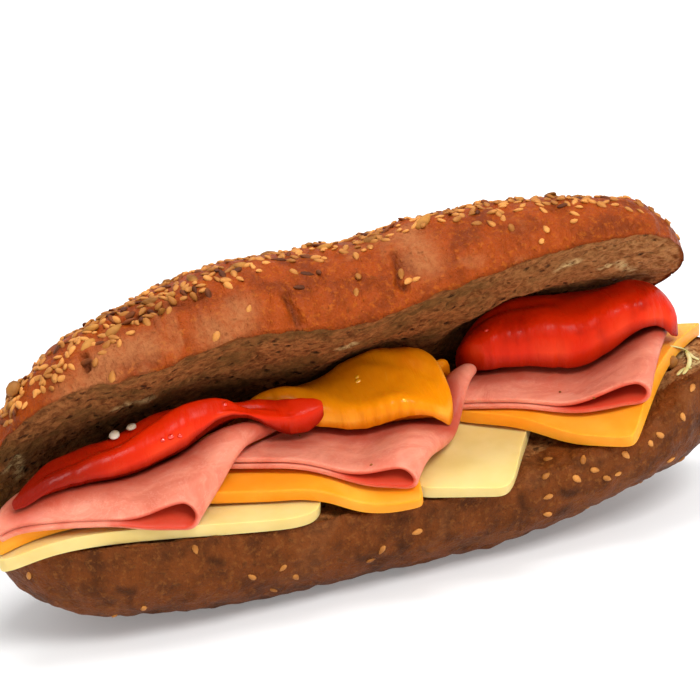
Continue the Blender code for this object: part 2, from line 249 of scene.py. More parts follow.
def taper(x, ends, reach, power=2.2):
    """0 at each tip and 1 along the middle, with rounded ends."""
    left = np.clip((x - ends[0]) / reach[0], 0, 1)
    right_side = np.clip((ends[1] - x) / reach[1], 0, 1)
    rounded = [(1 - (1 - side) ** power) ** (1 / power) for side in (left, right_side)]
    return rounded[0] * rounded[1]


def lumps(x, y, z, size, depth):
    """Smooth uneven height of a given size and depth, at every point of three arrays."""
    x, y, z = np.broadcast_arrays(x, y, z)
    flat = [noise.noise(Vector(p) / size) for p in zip(x.ravel(), y.ravel(), z.ravel())]
    return depth * np.array(flat).reshape(x.shape)


def smooth_step(value, low, high):
    """0 below low, 1 above high and a soft rise between them."""
    t = np.clip((value - low) / (high - low), 0, 1)
    return t * t * (3 - 2 * t)


BOTTOM_ENDS = (-122.0, 116.0)
BOTTOM_HALF_WIDTH = 35.5
BOTTOM_END_REACH = (50.0, 50.0)
BOTTOM_FRONT_RIM = ((-118, 36), (-90, 33.5), (-60, 30.5), (-25, 28.5), (15, 28), (55, 31), (78, 37),
                    (95, 46.5), (118, 47))
BOTTOM_BACK_RIM = ((-118, 22.5), (-95, 28.5), (-65, 36.5), (0, 42), (60, 41), (100, 43.5), (118, 44))
BOTTOM_LIFT = ((-122, 26), (-115, 16), (-106, 10), (-95, 5.5), (-80, 3), (-62, 0.8), (-50, 0), (25, 0),
               (38, 1.5), (50, 3.5), (62, 6.5), (78, 10.5), (95, 14.5), (107, 22), (116, 33))
BASE_PRESS = 1.05
TOP_ENDS = (-127.0, 102.0)
TOP_HALF_WIDTH = 34.5
TOP_END_REACH = (52.0, 26.0)
TOP_FRONT_RIM = ((-122, 75), (-110, 80), (-96, 82), (-80, 81.5), (-46, 87), (-14, 84.5), (20, 90.5), (50, 95),
                 (80, 95), (102, 90))
TOP_BACK_RIM = ((-122, 12), (-108, 21.5), (-95, 29.5), (-65, 38.5), (-40, 41.5), (0, 42.8), (40, 44),
                (70, 47), (102, 51))
TOP_DOME = ((-122, 17), (-112, 21.5), (-85, 28), (-40, 33.5), (0, 33.5), (25, 33), (45, 30), (75, 22.5),
            (102, 19))


def bottom_face(x, y):
    """Height of the bottom half's cut face."""
    front, back = along(x, BOTTOM_FRONT_RIM), along(x, BOTTOM_BACK_RIM)
    return front + (back - front) * (y + BOTTOM_HALF_WIDTH) / (2 * BOTTOM_HALF_WIDTH)


def top_face(x, y):
    """Height of the top half's cut face."""
    front, back = along(x, TOP_FRONT_RIM), along(x, TOP_BACK_RIM)
    return front + (back - front) * (y + TOP_HALF_WIDTH) / (2 * TOP_HALF_WIDTH)


def stations(ends, count, crowding=0.72):
    """X positions that crowd together towards both tips."""
    t = np.linspace(-1, 1, count)
    half = (ends[1] - ends[0]) / 2
    return (ends[0] + ends[1]) / 2 + half * ((1 - crowding) * t + crowding * np.sin(t * math.pi / 2))


print("roll from", BOTTOM_ENDS[0], "to", BOTTOM_ENDS[1], "mm")

# %% Meshes from points
def make_piece(name, points, faces, material):
    """Smooth mesh object from millimetre points with outward faces."""
    mesh = bpy.data.meshes.new(name)
    mesh.from_pydata((np.asarray(points) * MM).tolist(), [], [tuple(map(int, f)) for f in faces])
    work = bmesh.new()
    work.from_mesh(mesh)
    bmesh.ops.recalc_face_normals(work, faces=work.faces[:])
    work.to_mesh(mesh)
    work.free()
    mesh.shade_smooth()
    mesh.materials.append(material)
    piece = bpy.data.objects.new(name, mesh)
    bpy.context.scene.collection.objects.link(piece)
    return piece


def paint(piece, name, values):
    """Store one value on each point, for the material to read."""
    layer = piece.data.attributes.new(name, "FLOAT", "POINT")
    layer.data.foreach_set("value", np.asarray(values, np.float32).ravel())


def grid_normals(grid):
    """Unit normals of a grid of points."""
    across = np.cross(np.gradient(grid, axis=0), np.gradient(grid, axis=1))
    return across / np.maximum(np.linalg.norm(across, axis=-1, keepdims=True), 1e-9)


def apply_modifiers(piece):
    """Turn the piece's modifiers into plain mesh."""
    bpy.context.view_layer.update()
    graph = bpy.context.evaluated_depsgraph_get()
    made = bpy.data.meshes.new_from_object(piece.evaluated_get(graph), depsgraph=graph)
    made.name = piece.name
    piece.modifiers.clear()
    piece.data = made


print("mesh tools ready")

# %% [markdown]
# ## Crust and crumb
#
# Baked crust is a thin satin skin that is browned unevenly: orange-brown where it stretched, dull and paler
# where flour stayed on it, nearly black where it caught the heat. Malt and rye make this dough
# dark, so its crumb is brown too, torn and full of pores. Colour follows two or three sizes of noise, and the
# same noises drive roughness and bump, because a dull patch is also a rough one.

# %% Baked top crust
def bake_crust(name, baked, dark, dull, light, dull_amount, smoothest):
    """Crust of a malted roll: satin egg-brown skin with floury patches and toasted specks."""
    material, tree, shader, where = new_material(name)
    # Patches 22 mm wide, mottling of 9 mm and two grains of about 1 mm, as on the photographed crust
    patches = grain(tree, where, 22, 3, 0.6, distortion=0.6)
    mottle = grain(tree, where, 9, 4, 0.6)
    speck = grain(tree, where, 1.6, 3, 0.65)
    fine = grain(tree, where, 0.7, 2, 0.6)
    colour = mix(tree, between(tree, mottle, 0.3, 0.62, 0.3, 1), dark, baked)
    colour = mix(tree, between(tree, speck, 0.5, 0.72, 0, 0.55), colour, light)
    colour = mix(tree, between(tree, fine, 0.56, 0.74, 0, 0.4), colour, dark)
    mealy = between(tree, speck, 0.3, 0.6, 0.5, 1)
    floury = calculate(tree, "MULTIPLY", between(tree, patches, 0.54, 0.66), dull_amount)
    floury = calculate(tree, "MAXIMUM", floury, painted(tree, "floury"))
    floury = calculate(tree, "MULTIPLY", floury, mealy)
    colour = mix(tree, floury, colour, dull)
    toasted = between(tree, grain(tree, where, 3.2, 3, 0.6), 0.62, 0.74, 0, 0.6)
    colour = mix(tree, toasted, colour, dark)
    # Painted shade: cracks on the top half are painted dark as the shade inside them; on the bottom half the
    # same layer paints toasted spots
    colour = mix(tree, painted(tree, "cracked"), colour, dark)
    creases = grain(tree, where, 4.5, 4, 0.7, stretch=(1.6, 0.7, 0.7), distortion=1.0)
    bump = relief(tree, mottle, 0.8)
    bump = relief(tree, creases, 1.0, bump)
    bump = relief(tree, speck, 0.6, bump)
    feed(tree, shader, {
        "Base Color": colour, "Roughness": between(tree, floury, 0.0, 1.0, smoothest, 0.8),
        "Specular IOR Level": 0.08, "Normal": relief(tree, fine, 0.15, bump)})
    return material


top_crust = bake_crust("baked top crust", "903A08", "5A2204", "A0623A", "AC5810", 0.45, 0.42)
bottom_crust = bake_crust("baked underside crust", "703812", "361A07", "84502C", "8C5424", 0.3, 0.5)
print("crust materials ready")

# %% Torn crumb
# Malted bread crumb: matt, brown, with pores of 1 to 4 mm painted nearly black as the shade inside them, and
# pale sauce soaked in here and there. Wide patches of it are olive, and towards the right end it is painted
# paler, as more light reaches into the roll there
crumb, tree, shader, where = new_material("malted bread crumb")
fluff = grain(tree, where, 2.4, 5, 0.72)
bent = add_node(tree, "ShaderNodeTexNoise", {"Vector": where, "Scale": 1000 / 5, "Detail": 2.0})
shifted = add_node(tree, "ShaderNodeVectorMath", {0: bent.outputs["Color"], 3: 2.5 * MM},
                   operation="SCALE").outputs[0]
shifted = add_node(tree, "ShaderNodeVectorMath", {0: where, 1: shifted}).outputs[0]
pores = add_node(tree, "ShaderNodeTexVoronoi", {"Vector": shifted, "Scale": 1000 / 3.6, "Randomness": 1.0},
                 feature="F1").outputs["Distance"]
some = between(tree, grain(tree, where, 6, 2), 0.42, 0.6)
holes = calculate(tree, "MULTIPLY", between(tree, pores, 0.1, 0.36, 1, 0), some)
broad = grain(tree, where, 16, 3, 0.6)
# Painted light: the crumb colour turns paler towards the right end, where more light reaches it
right_end = between(tree, add_node(tree, "ShaderNodeSeparateXYZ", {"Vector": where}).outputs["X"], 0.01, 0.1)
colour = mix(tree, between(tree, fluff, 0.32, 0.68), "623416", "A66A3A")
colour = mix(tree, between(tree, broad, 0.4, 0.62, 0, 0.6), colour, "5C4420")
lit_crumb = mix(tree, between(tree, fluff, 0.32, 0.66), "7C4822", "BE8450")
lit_share = calculate(tree, "MULTIPLY", right_end, between(tree, broad, 0.35, 0.6, 0.5, 1))
colour = mix(tree, lit_share, colour, lit_crumb)
# Painted shade: the pores are darkened nearly to black, as the shade inside them
colour = mix(tree, calculate(tree, "MULTIPLY", holes, 0.85), colour, "281306")
sauce = calculate(tree, "MULTIPLY", painted(tree, "sauce"), between(tree, fluff, 0.4, 0.56, 0.1, 1))
colour = mix(tree, sauce, colour, "D6BC82")
colour = mix(tree, painted(tree, "rim"), colour, "7A3A12")
solid = calculate(tree, "SUBTRACT", 1.0, holes)
feed(tree, shader, {
    "Base Color": colour, "Roughness": 0.85, "Specular IOR Level": 0.08,
    "Normal": relief(tree, solid, 1.2, relief(tree, fluff, 1.4))})
print("crumb material ready")

# %% [markdown]
# ## The two bread halves
#
# Both halves could be sculpted from a stretched sphere, but a loft keeps the measured rims. Each half is a
# grid: one ring per station along X. Relief is moved along the surface's own normal: lumps and wrinkles on
# the crust, pores and torn flakes on the cut face. A fan of triangles closes each tip.

# %% Rings and relief
# The knife left the crust joined along the back, so the bottom half's back rim rises this far to the top half
JOIN = ((-122, 0), (-106, 0), (-95, 1.4), (-65, 2.9), (-40, 2.9), (0, 2.6), (38, 3.8), (65, 4.6), (84, 4),
        (97, 0), (116, 0))
# That lip reaches this far in from the rim and this far down the crust
LIP_IN, LIP_DOWN = 5.0, 7.0
STATIONS = 300
CRUST_POINTS, FACE_POINTS = 122, 72
# Each tip still has this share of the full width, so that no ring shrinks to a point
TIP_SIZE = 0.02
# Powers under 1 square off a half-round section, across and in height
BOTTOM_ACROSS, BOTTOM_DOWN = 0.86, 0.82
TOP_SQUARE = 0.85
BOTTOM_SWELL = 0.035


def squared(angle, power):
    """Cosine of an angle, squared off by a power under 1."""
    return np.sign(np.cos(angle)) * np.abs(np.cos(angle)) ** power


def bottom_grid():
    """Rings of the bottom half as a grid of points, crust first."""
    x = stations(BOTTOM_ENDS, STATIONS)[:, None]
    half = BOTTOM_HALF_WIDTH * np.maximum(taper(x, BOTTOM_ENDS, BOTTOM_END_REACH), TIP_SIZE)
    lift = np.maximum(along(x, BOTTOM_LIFT), 0)
    angle = np.linspace(0, math.pi, CRUST_POINTS)[None, :]
    y = -half * squared(angle, BOTTOM_ACROSS)
    rim = bottom_face(x, y)
    z = rim - (rim - lift) * BASE_PRESS * np.sin(angle) ** BOTTOM_DOWN
    swell = 1 + BOTTOM_SWELL * np.sin(2 * np.minimum(angle, math.pi - angle))
    z = z + along(x, JOIN) * np.exp(-((half - y) / LIP_IN) ** 2 - ((rim - z) / LIP_DOWN) ** 2)
    crust = np.dstack([np.broadcast_to(x, y.shape), y * swell + lumps(x, y, z, 17, 0.5), np.maximum(z, lift)])
    t = np.linspace(1, -1, FACE_POINTS + 2)[None, 1:-1]
    y = half * t
    z = bottom_face(x, y) - 0.4 + lumps(x, y, 5.0, 9, 0.7)
    z = z + along(x, JOIN) * np.exp(-((half - y) / LIP_IN) ** 2)
    return np.concatenate([crust, np.dstack([np.broadcast_to(x, y.shape), y, z])], axis=1)


def top_grid():
    """Rings of the top half as a grid of points, crust first."""
    x = stations(TOP_ENDS, STATIONS)[:, None]
    size = np.maximum(taper(x, TOP_ENDS, TOP_END_REACH, 1.9), TIP_SIZE)
    half = TOP_HALF_WIDTH * size
    height = along(x, TOP_DOME) * size ** 0.9
    slope = np.arctan2(top_face(x, -half) - top_face(x, half), 2 * half)
    angle = np.linspace(0, math.pi, CRUST_POINTS)[None, :]
    y = -half * squared(angle, TOP_SQUARE)
    out = height * np.abs(np.sin(angle)) ** TOP_SQUARE + lumps(x, y, 3.0, 15, 0.9) * np.sin(angle)
    crust = np.dstack([np.broadcast_to(x, y.shape), y + np.sin(slope) * out,
                       top_face(x, y) + np.cos(slope) * out])
    t = np.linspace(1, -1, FACE_POINTS + 2)[None, 1:-1]
    y = half * t
    z = top_face(x, y) + 0.4 + lumps(x, y, 9.0, 9, 0.8)
    return np.concatenate([crust, np.dstack([np.broadcast_to(x, y.shape), y, z])], axis=1)


def ring_faces(count, size):
    """Faces between neighbouring rings, the number of each point and the number of the next on its ring."""
    index = np.arange(count * size).reshape(count, size)
    after = np.roll(index, -1, axis=1)
    faces = np.stack([index[:-1], after[:-1], after[1:], index[1:]], axis=-1).reshape(-1, 4).tolist()
    return faces, index, after


def ring_normals(grid):
    """Outward normals of closed rings."""
    round_trip = np.roll(grid, -1, axis=1) - np.roll(grid, 1, axis=1)
    normal = np.cross(round_trip, np.gradient(grid, axis=0))
    normal /= np.maximum(np.linalg.norm(normal, axis=-1, keepdims=True), 1e-9)
    middle = grid.mean(axis=1, keepdims=True)
    outward = np.sign((normal * (grid - middle)).sum(axis=-1).mean())
    return normal * outward


def rim_distance(grid):
    """Distance of each point from the nearer rim along its ring, in millimetres."""
    steps = np.linalg.norm(np.diff(grid, axis=1), axis=-1)
    walked = np.concatenate([np.zeros((len(grid), 1)), np.cumsum(steps, axis=1)], axis=1)
    total = walked[:, -1:] + np.linalg.norm(grid[:, :1] - grid[:, -1:], axis=-1)
    back = walked[:, CRUST_POINTS - 1:CRUST_POINTS]
    return np.minimum.reduce([walked, np.abs(walked - back), total - walked])


print("rings of", CRUST_POINTS + FACE_POINTS, "points at", STATIONS, "stations")

# %% Relief of crust and crumb
def taper_room(x):
    """0 at the tips of the roll and 1 along its middle, so that relief fades where rings are small."""
    return taper(x, TOP_ENDS, (30, 20))


# The cut runs a little behind the bottom half's front shoulder, so crust laps this far onto the cut face
LAP = ((-122, 0), (8, 0), (30, 7), (50, 13), (84, 13), (98, 4), (116, 3))
# The shoulder under a lap is rounded over this many points of each ring to either side, in this many passes
SHOULDER_POINTS, SHOULDER_PASSES = 9, 24
# Different seeds give the two halves different lumps
BOTTOM_RELIEF_SEED, TOP_RELIEF_SEED = 31.0, 57.0


def front_distance(grid):
    """Distance of each point from the front rim, walked over the cut face, in millimetres."""
    steps = np.linalg.norm(np.roll(grid, -1, axis=1) - grid, axis=-1)
    return np.cumsum(steps[:, ::-1], axis=1)[:, ::-1]


def lapped(grid):
    """True where crust laps onto the cut face."""
    return front_distance(grid) < along(grid[..., 0], LAP)


def round_shoulder(grid):
    """Ease the front rim into a round shoulder where crust laps over it."""
    share = smooth_step(along(grid[..., 0], LAP), 2.0, 9.0)[..., None]
    near = np.minimum(np.arange(grid.shape[1]), grid.shape[1] - np.arange(grid.shape[1]))
    share = share * (near < SHOULDER_POINTS)[None, :, None]
    for _ in range(SHOULDER_PASSES):
        grid = grid + share * 0.25 * (np.roll(grid, 1, axis=1) + np.roll(grid, -1, axis=1) - 2 * grid)
    return grid


def roughen(grid, seed, crusty):
    """Add baked relief to the crust and torn relief to the cut face."""
    normal = ring_normals(grid)
    inset = rim_distance(grid)
    on_crust = (np.arange(grid.shape[1]) < CRUST_POINTS)[None, :] | crusty
    x, y, z = (grid[..., k] for k in range(3))
    wrinkle = lumps(x * 1.5, y, z + seed, 7, 0.8) + lumps(x, y, z + seed, 3.2, 0.35)
    torn = lumps(x, y, z + seed, 3.6, 1.0)
    torn = np.where(torn > 0.15, -(torn - 0.15) * 2.2, 0) + lumps(x, y, z - seed, 1.9, 0.55)
    soft_start = smooth_step(inset, 0.0, 2.5)
    ragged = (lumps(x, y + seed, z, 5.0, 0.9) + lumps(x, y - seed, z, 2.0, 0.4)) * np.exp(-(inset / 2.0) ** 2)
    grid = grid + normal * (np.where(on_crust, wrinkle, torn) * soft_start)[..., None]
    grid[..., 2] += ragged * smooth_step(taper_room(x), 0.1, 0.5)
    return grid


def bread_half(name, grid, crust_material, crusty):
    """Closed mesh of a bread half with crust and crumb materials, and paint layers for both."""
    count, size = grid.shape[:2]
    points = np.concatenate([grid.reshape(-1, 3), [grid[0].mean(0), grid[-1].mean(0)]])
    faces, index, after = ring_faces(count, size)
    faces += [(count * size, index[0, j], after[0, j]) for j in range(size)]
    faces += [(count * size + 1, index[-1, j], after[-1, j]) for j in range(size)]
    half = make_piece(name, points, faces, crust_material)
    half.data.materials.append(crumb)
    on_face = np.arange(size) >= CRUST_POINTS - 1
    crumb_face = np.concatenate([(on_face & ~crusty[:-1]).ravel(), on_face, on_face])
    half.data.polygons.foreach_set("material_index", crumb_face.astype(np.int32))
    inset = np.append(rim_distance(grid).ravel(), [0, 0])
    at_end = smooth_step(points[:, 0], 90.0, 99.0)
    paint(half, "rim", 0.9 * (1 - smooth_step(inset, 0.3 + 2.5 * at_end, 2.2 + 3.5 * at_end)))
    return half


bottom_points = round_shoulder(bottom_grid())
bottom_lap = lapped(bottom_points)
bottom_points = roughen(bottom_points, BOTTOM_RELIEF_SEED, bottom_lap)
bottom_points[..., 2] = np.maximum(bottom_points[..., 2], 0)
print("bottom half", [round(float(v), 1) for v in np.ptp(bottom_points.reshape(-1, 3), axis=0)], "mm")

# %% [markdown]
# ## Laying the fillings
#
# Soft slices take the shape of what lies under them. A cloth simulation could do this, but each slice would
# need minutes to settle. Instead a grid of heights, seen from above, remembers the pile so far. A new slice
# reads a smoothed copy of it, the stiffer the slice the smoother, and then adds its own top to the pile.

# %% The pile as a grid of heights
CLEARANCE = 0.3
# Past the bread a slice hangs down by a slope and a curve, which end at this overhang
OVERHANG, HANG, SAG = 9.0, 0.18, 0.05
GRID_X = np.arange(-140.0, 141.0, 1.0)
GRID_Y = np.arange(-62.0, 56.0, 1.0)


class Pile:
    """Heights of everything laid so far."""

    def __init__(self):
        x, y = np.meshgrid(GRID_X, GRID_Y, indexing="ij")
        outside = np.maximum(np.abs(y) - BOTTOM_HALF_WIDTH * taper(x, BOTTOM_ENDS, BOTTOM_END_REACH), 0)
        outside = np.minimum(outside, OVERHANG)
        self.height = bottom_face(x, y) - SAG * outside ** 2 - HANG * outside

    @staticmethod
    def cells(points):
        """Cell that each point lies in."""
        found = np.rint(points[:, :2] - (GRID_X[0], GRID_Y[0])).astype(int)
        return np.clip(found, 0, (len(GRID_X) - 1, len(GRID_Y) - 1)).T

    def add(self, points):
        """Let the pile reach up to these points."""
        i, j = self.cells(points)
        np.maximum.at(self.height, (i, j), points[:, 2])

    @staticmethod
    def spread(field, reach):
        """Highest value within reach of each cell."""
        for _ in range(reach):
            wide = np.pad(field, 1, mode="edge")
            field = np.maximum.reduce([wide[1:-1, 1:-1], wide[2:, 1:-1], wide[:-2, 1:-1], wide[1:-1, 2:],
                                       wide[1:-1, :-2]])
        return field

    @staticmethod
    def blur(field, reach):
        """Smooth the field with a soft kernel of about this reach."""
        kernel = np.exp(-0.5 * (np.arange(-2 * reach, 2 * reach + 1) / reach) ** 2)
        kernel /= kernel.sum()
        for axis in (0, 1):
            room = [(2 * reach, 2 * reach) if k == axis else (0, 0) for k in (0, 1)]
            field = np.pad(field, room, mode="edge")
            field = np.apply_along_axis(np.convolve, axis, field, kernel, "valid")
        return field

    def drape(self, reach, soften):
        """Underside of a sheet that bridges dips of this reach and rises this softly over bumps."""
        smooth = self.blur(self.height, reach)
        lift = np.maximum(self.height - smooth, 0)
        return smooth + self.blur(self.spread(lift, soften + 1), soften) + CLEARANCE

    @staticmethod
    def read(field, x, y):
        """Field at any point, between its cells."""
        u = np.clip(np.asarray(x) - GRID_X[0], 0, len(GRID_X) - 1.001)
        v = np.clip(np.asarray(y) - GRID_Y[0], 0, len(GRID_Y) - 1.001)
        i, j = u.astype(int), v.astype(int)
        u, v = u - i, v - j
        low = field[i, j] * (1 - u) + field[i + 1, j] * u
        high = field[i, j + 1] * (1 - u) + field[i + 1, j + 1] * u
        return low * (1 - v) + high * v

    def clear(self, points, reach=8, soften=3):
        """Raise the points softly, just enough to stay off the pile."""
        points = np.array(points, float)
        i, j = self.cells(points)
        lowest = np.full(self.height.shape, 1e6)
        np.minimum.at(lowest, (i, j), points[:, 2])
        short = np.where(lowest < 1e5, np.maximum(self.height + CLEARANCE - lowest, 0), 0)
        lift = self.blur(self.spread(short, reach), soften)
        points[:, 2] += self.read(lift, points[:, 0], points[:, 1])
        return points


pile = Pile()
pile.add(bottom_points[:, CRUST_POINTS:].reshape(-1, 3))
print("pile grid", pile.height.shape)

# %% Shapes of a slice
def plate_faces(columns, rows):
    """Faces of a closed plate whose underside grid comes first and upper grid second."""
    count = columns * rows
    index = np.arange(count).reshape(columns, rows)
    low = np.stack([index[:-1, :-1], index[:-1, 1:], index[1:, 1:], index[1:, :-1]], axis=-1).reshape(-1, 4)
    edge = np.concatenate([index[:, 0], index[-1, 1:], index[-2::-1, -1], index[0, -2:0:-1]])
    after = np.roll(edge, -1)
    wall = np.stack([edge, after, after + count, edge + count], axis=-1)
    return np.concatenate([low, low[:, ::-1] + count, wall]).tolist()


def rounded_square(columns, rows, power):
    """Grid over a square from -1 to 1 whose corners are rounded, closer together near its edges."""
    def spaced(count):
        t = np.linspace(-1, 1, count)
        return 0.75 * t + 0.25 * np.sin(t * math.pi / 2)
    u, v = np.meshgrid(spaced(columns), spaced(rows), indexing="ij")
    widest = np.maximum(np.abs(u), np.abs(v))
    shrink = widest / np.maximum((np.abs(u) ** power + np.abs(v) ** power) ** (1 / power), 1e-9)
    shrink = np.where(widest < 1e-9, 1, shrink)
    return u * shrink, v * shrink


def in_quad(corners, u, v):
    """Plan position in a four-cornered slice, with u and v from 0 to 1."""
    front_left, front_right, back_right, back_left = (np.array(c, float) for c in corners)
    u, v = u[..., None], v[..., None]
    return (front_left * (1 - u) + front_right * u) * (1 - v) + (back_left * (1 - u) + back_right * u) * v


def soften_edges(piece, width, segments=2):
    """Round the sharp edges of a slice by a small bevel and make it plain mesh."""
    bevel = piece.modifiers.new("soft edge", "BEVEL")
    bevel.width = width * MM
    bevel.segments = segments
    bevel.limit_method = "ANGLE"
    bevel.angle_limit = math.radians(50)
    apply_modifiers(piece)
    piece.data.shade_smooth()


print("slice tools ready")

# %% [markdown]
# ## Cheese
#
# Two sliced cheeses, a pale yellow one and an orange one, cut 4 mm thick by a machine: flat smooth faces,
# square edges and slightly rounded corners. Cheese is waxy, so light enters it and glows back, which is why
# its cut edges look lighter than its shadowed faces. Subsurface scattering gives that.

# %% Cheese materials
def cheese_finish(name, face, deep, glow):
    """Sliced semi-hard cheese: waxy, faintly mottled, with a soft satin skin."""
    material, tree, shader, where = new_material(name)
    cloudy = grain(tree, where, 16, 3, 0.5)
    fine = grain(tree, where, 0.9, 3, 0.6)
    colour = mix(tree, between(tree, cloudy, 0.3, 0.7), deep, face)
    bump = relief(tree, grain(tree, where, 5, 2), 0.12)
    feed(tree, shader, {
        "Base Color": colour, "Roughness": between(tree, fine, 0.3, 0.7, 0.34, 0.46), "IOR": 1.44,
        "Specular IOR Level": 0.15, "Subsurface Weight": 0.5, "Subsurface Radius": glow,
        "Subsurface Scale": 3.0 * MM, "Normal": relief(tree, fine, 0.04, bump)})
    return material


finishes = {
    "pale_cheese": cheese_finish("pale semi-hard cheese", "E3CA84", "D9BD72", (1.0, 0.8, 0.35)),
    "orange_cheese": cheese_finish("orange semi-hard cheese", "FBA634", "F4941C", (1.0, 0.5, 0.1)),
}
print("cheese materials ready")

# %% Cheese slices
CHEESE_THICK = 4.0
# Node, slot, corners in millimetres, stiffness and sharpness of the corners
CHEESE_SLICES = (
    ("cheese_pale_left", "pale_cheese", ((-125, -29), (-30, -38.5), (-20, 24), (-102, 17)), 9, 9),
    ("cheese_pale_middle", "pale_cheese", ((-2, -34), (26.5, -42), (66, 20), (20, 25)), 9, 9),
    ("cheese_orange_left", "orange_cheese", ((-123, -27), (-84, -28), (-78, 12), (-100, 10)), 9, 14),
    ("cheese_orange_middle", "orange_cheese", ((-76, -23), (-1, -42), (12, 25), (-56, 18)), 16, 40),
    ("cheese_orange_right", "orange_cheese", ((18, -2), (67, -41), (117, 11), (74, 24)), 14, 24),
)


def cheese_slice(name, material, corners, stiff, power):
    """Square slice that bridges dips as wide as it is stiff, with sharper corners at a higher power."""
    columns, rows = 64, 48
    u, v = rounded_square(columns, rows, power)
    plan = in_quad(corners, (u + 1) / 2, (v + 1) / 2)
    low = np.dstack([plan, pile.read(pile.drape(stiff, stiff // 2), plan[..., 0], plan[..., 1])])
    high = low + CHEESE_THICK * grid_normals(low)
    points = pile.clear(np.concatenate([low.reshape(-1, 3), high.reshape(-1, 3)]))
    pile.add(points)
    piece = make_piece(name + "_slice", points, plate_faces(columns, rows), material)
    soften_edges(piece, 0.6, 3)
    return piece


pieces = {}
for name, slot, corners, stiff, power in CHEESE_SLICES:
    pieces[name] = (cheese_slice(name, finishes[slot], corners, stiff, power), slot)
    print(name, len(pieces[name][0].data.polygons), "faces")

# %% [markdown]
# ## Ham
#
# Cooked ham in slices under 2 mm thick, each folded over so that a round loop stands open along its crease.
# The fold could be bent with a modifier, but a formula is exact: walking across the slice, the sheet goes
# out, turns round a tear-drop and comes back on top of itself. Ham is moist and lets light through, so the
# inside of a loop glows red: the shader scatters light under its surface, and the inside is painted red too.

# %% Ham material
ham_finish, tree, shader, where = new_material("sliced cooked ham")
muscle = grain(tree, where, 13, 4, 0.6, stretch=(1, 1.6, 1.6), distortion=1.2)
pink_fine = grain(tree, where, 1.4, 3, 0.6)
colour = mix(tree, between(tree, muscle, 0.32, 0.68), "D4745C", "E48E74")
colour = mix(tree, between(tree, pink_fine, 0.55, 0.8, 0, 0.25), colour, "ECA088")
veins = grain(tree, where, 22, 5, 0.7, distortion=3.0)
vein_line = calculate(tree, "ABSOLUTE", calculate(tree, "SUBTRACT", veins, 0.5))
colour = mix(tree, between(tree, vein_line, 0.0, 0.02, 0.2, 0), colour, "F2B49C")
# Painted light: inside a loop the ham is painted red for the light that bounces from ham to ham there
colour = mix(tree, painted(tree, "glow"), colour, "C43416")
# Painted shade: close to the peppers the ham is painted darker and redder, as they shade it
colour = mix(tree, painted(tree, "juice"), colour, "A8321C")
feed(tree, shader, {
    "Base Color": colour, "Roughness": between(tree, pink_fine, 0.3, 0.7, 0.3, 0.42), "IOR": 1.42,
    "Specular IOR Level": 0.15, "Subsurface Weight": 0.4, "Subsurface Radius": (1.0, 0.28, 0.18),
    "Subsurface Scale": 3.0 * MM, "Normal": relief(tree, pink_fine, 0.06, relief(tree, muscle, 0.12))})
print("ham material ready")

# %% Folded ham slices
HAM_THICK = 1.5
# Two folded layers lie this far apart, and the half circle at the crease takes up this share of the slice
LAYER_GAP, CREASE_SHARE = 0.5, 0.075
# Node, corners with the crease on the right, height of the loop and the share of the slice that it reaches
HAM_SLICES = (
    ("ham_right", ((23, -8), (76, -33), (101, 2), (40, 16)), 4.6, 0.5),
    ("ham_middle", ((-56, -17), (-3, -41.5), (32, -3), (-8, 6)), 4.2, 0.4),
    ("ham_left", ((-121, -29), (-67, -38), (-29, -4), (-116, -5)), 6.2, 0.42),
)


def ham_fold(name, corners, loop, reach):
    """Slice folded over on itself with a round loop along its crease, which is its right side."""
    turns, rows = 121, 34
    q = np.linspace(-1, 1, turns)
    across, back = np.meshgrid(np.abs(q) ** 1.7, np.linspace(0, 1, rows), indexing="ij")
    plan = in_quad(corners, 1 - across, back)
    # From the crease the loop opens as a half circle, then narrows to where the two layers lie together
    gap = HAM_THICK + LAYER_GAP + loop * (1 - 0.6 * back) * (1 - smooth_step(across, 0.1 * reach, reach))
    opened = np.sqrt(1 - (1 - np.clip(across / CREASE_SHARE, 0, 1)) ** 2)
    base = pile.read(pile.drape(10, 5), plan[..., 0], plan[..., 1]) + HAM_THICK / 2
    middle = np.dstack([plan, base + gap / 2 * (1 + np.sign(q)[:, None] * opened)])
    side = grid_normals(middle) * HAM_THICK / 2
    points = np.concatenate([(middle + side).reshape(-1, 3), (middle - side).reshape(-1, 3)])
    points = pile.clear(points)
    pile.add(points)
    piece = make_piece(name + "_fold", points, plate_faces(turns, rows), ham_finish)
    # Painted light: the inner side of the loop is painted red, for the light bounced inside it
    glow = 0.9 * (1 - smooth_step(across, 0.8 * reach, 1.2 * reach)).ravel()
    above = side[turns - 10, :, 2].mean() > 0
    paint(piece, "glow", np.concatenate([glow * (not above), glow * above]))
    soften_edges(piece, 0.3)
    return piece


for name, corners, loop, reach in HAM_SLICES:
    pieces[name] = (ham_fold(name, corners, loop, reach), "ham")
    print(name, len(pieces[name][0].data.polygons), "faces")

# %% [markdown]
# ## Roasted peppers
#
# Skinned roasted pepper is soft, wet and oily: a strip that is thick along its middle, thin at its edges and
# paler where it was cut. Its shine comes from a film of oil, so the shader has a faint clear coat over a
# saturated flesh that scatters light.

